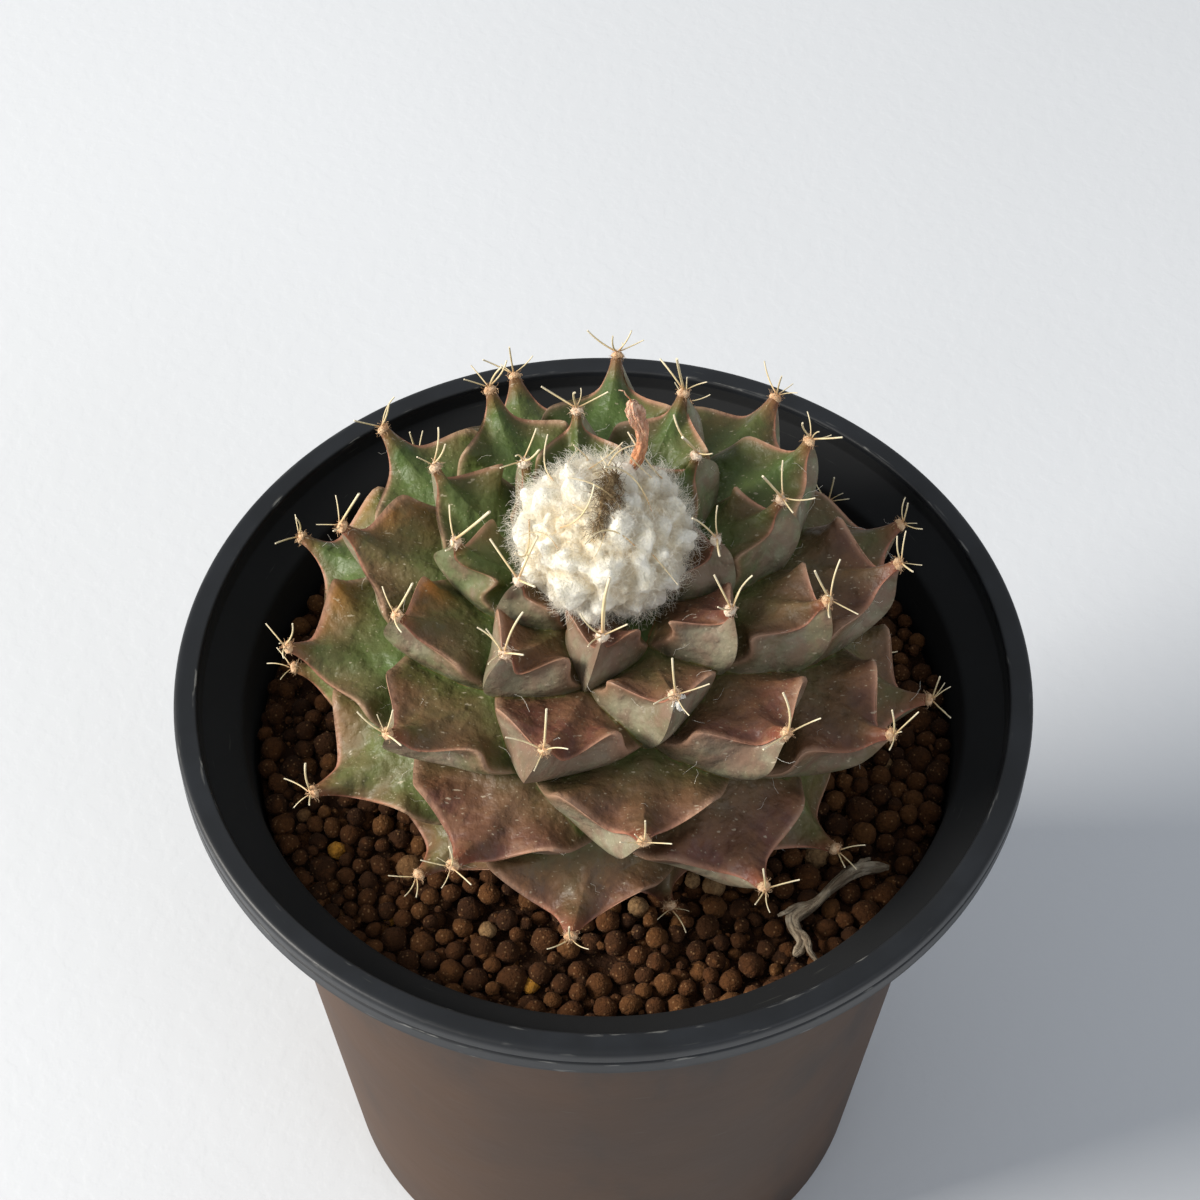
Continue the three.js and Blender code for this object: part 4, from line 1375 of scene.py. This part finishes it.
class CACTUS_OT_stage(bpy.types.Operator):
    """Pale floor, soft window-like light from the left, and the camera."""

    bl_idname = "cactus.studio"
    bl_label = "Studio"

    FLOOR_HALF = 14_000  # from its middle to each side, in millimetres
    LAMPS = (
        ("window", (-1.50, -0.25, 1.00), 0.75, 50.0, "#fffaf2"),
        ("fill", (1.10, -1.20, 1.00), 0.90, 5.0, "#f3f6ff"),
    )
    LIT_POINT = (0, 0, 0.125)
    ELEVATION, DISTANCE, LENS = 52.39, 3.04, 80.97  # degrees, rim diameters, millimetres
    TARGET_SIDE, TARGET_RISE = -0.0005, 0.137  # metres, rim diameters above the rim

    def execute(self, context):
        scene = context.scene
        settings = scene.potted_cactus
        far = self.FLOOR_HALF
        corners = [(-far, -far, 0), (far, -far, 0), (far, far, 0), (-far, far, 0)]
        mesh = make_mesh("studio_floor", corners, [(0, 1, 2, 3)])
        floor = make_object("studio_floor", mesh, studio_floor(settings.colours))

        world = bpy.data.worlds.new("soft_room")
        scene.world = world
        world.use_nodes = True
        backdrop = world.node_tree.nodes["Background"]
        backdrop.inputs["Color"].default_value = paint("#e9eef4")
        backdrop.inputs["Strength"].default_value = 0.5
        for name, place, size, power, tint in self.LAMPS:
            lamp = bpy.data.lights.new(name, "AREA")
            lamp.shape, lamp.size, lamp.energy, lamp.color = "SQUARE", size, power, paint(tint)[:3]
            holder = bpy.data.objects.new(name, lamp)
            scene.collection.objects.link(holder)
            holder.location = place
            ahead = Vector(self.LIT_POINT) - Vector(place)
            holder.rotation_euler = ahead.to_track_quat("-Z", "Y").to_euler()

        elevation, distance = math.radians(self.ELEVATION), self.DISTANCE * settings.pot.rim
        target = Vector((self.TARGET_SIDE, 0, settings.pot.height + self.TARGET_RISE * settings.pot.rim))
        ahead = Vector((0, math.cos(elevation), -math.sin(elevation)))
        camera = bpy.data.cameras.new("camera")
        camera.sensor_width, camera.lens = 36, self.LENS
        camera.clip_start, camera.clip_end = 0.01, 60
        holder = bpy.data.objects.new("camera", camera)
        scene.collection.objects.link(holder)
        holder.location = target - ahead * distance
        holder.rotation_euler = ahead.to_track_quat("-Z", "Y").to_euler()
        scene.camera = holder
        scene.view_settings.view_transform = "Standard"
        return {"FINISHED"}


class CACTUS_PT_panel(bpy.types.Panel):
    """Lists the pieces in the order in which they are made."""

    bl_idname = "CACTUS_PT_panel"
    bl_label = "Potted Cactus"
    bl_space_type = "VIEW_3D"
    bl_region_type = "UI"
    bl_category = "Cactus"

    def draw(self, context):
        settings = context.scene.potted_cactus
        for group in (settings.pot, settings.bed, settings.plant, settings.crown, settings.colours):
            box = self.layout.box()
            for name in group.__annotations__:
                box.prop(group, name)
        for operator in OPERATORS:
            self.layout.operator(operator.bl_idname)


GROUPS = (
    CACTUS_PG_pot, CACTUS_PG_bed, CACTUS_PG_plant, CACTUS_PG_crown, CACTUS_PG_colours,
    CACTUS_PG_settings,
)
OPERATORS = (
    CACTUS_OT_pot, CACTUS_OT_bed, CACTUS_OT_stem, CACTUS_OT_areoles, CACTUS_OT_wool, CACTUS_OT_litter,
    CACTUS_OT_flowers, CACTUS_OT_twig, CACTUS_OT_stage,
)


def register():
    """Makes the settings, the operators and the panel known."""
    for made in (*GROUPS, *OPERATORS, CACTUS_PT_panel):
        bpy.utils.register_class(made)
    bpy.types.Scene.potted_cactus = bpy.props.PointerProperty(type=CACTUS_PG_settings)


def unregister():
    """Takes them away again."""
    del bpy.types.Scene.potted_cactus
    for made in reversed((*GROUPS, *OPERATORS, CACTUS_PT_panel)):
        bpy.utils.unregister_class(made)


def main():
    """Builds every piece in order."""
    register()
    for operator in OPERATORS:
        group, name = operator.bl_idname.split(".")
        getattr(getattr(bpy.ops, group), name)()
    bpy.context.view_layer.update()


if __name__ == "__main__":
    main()
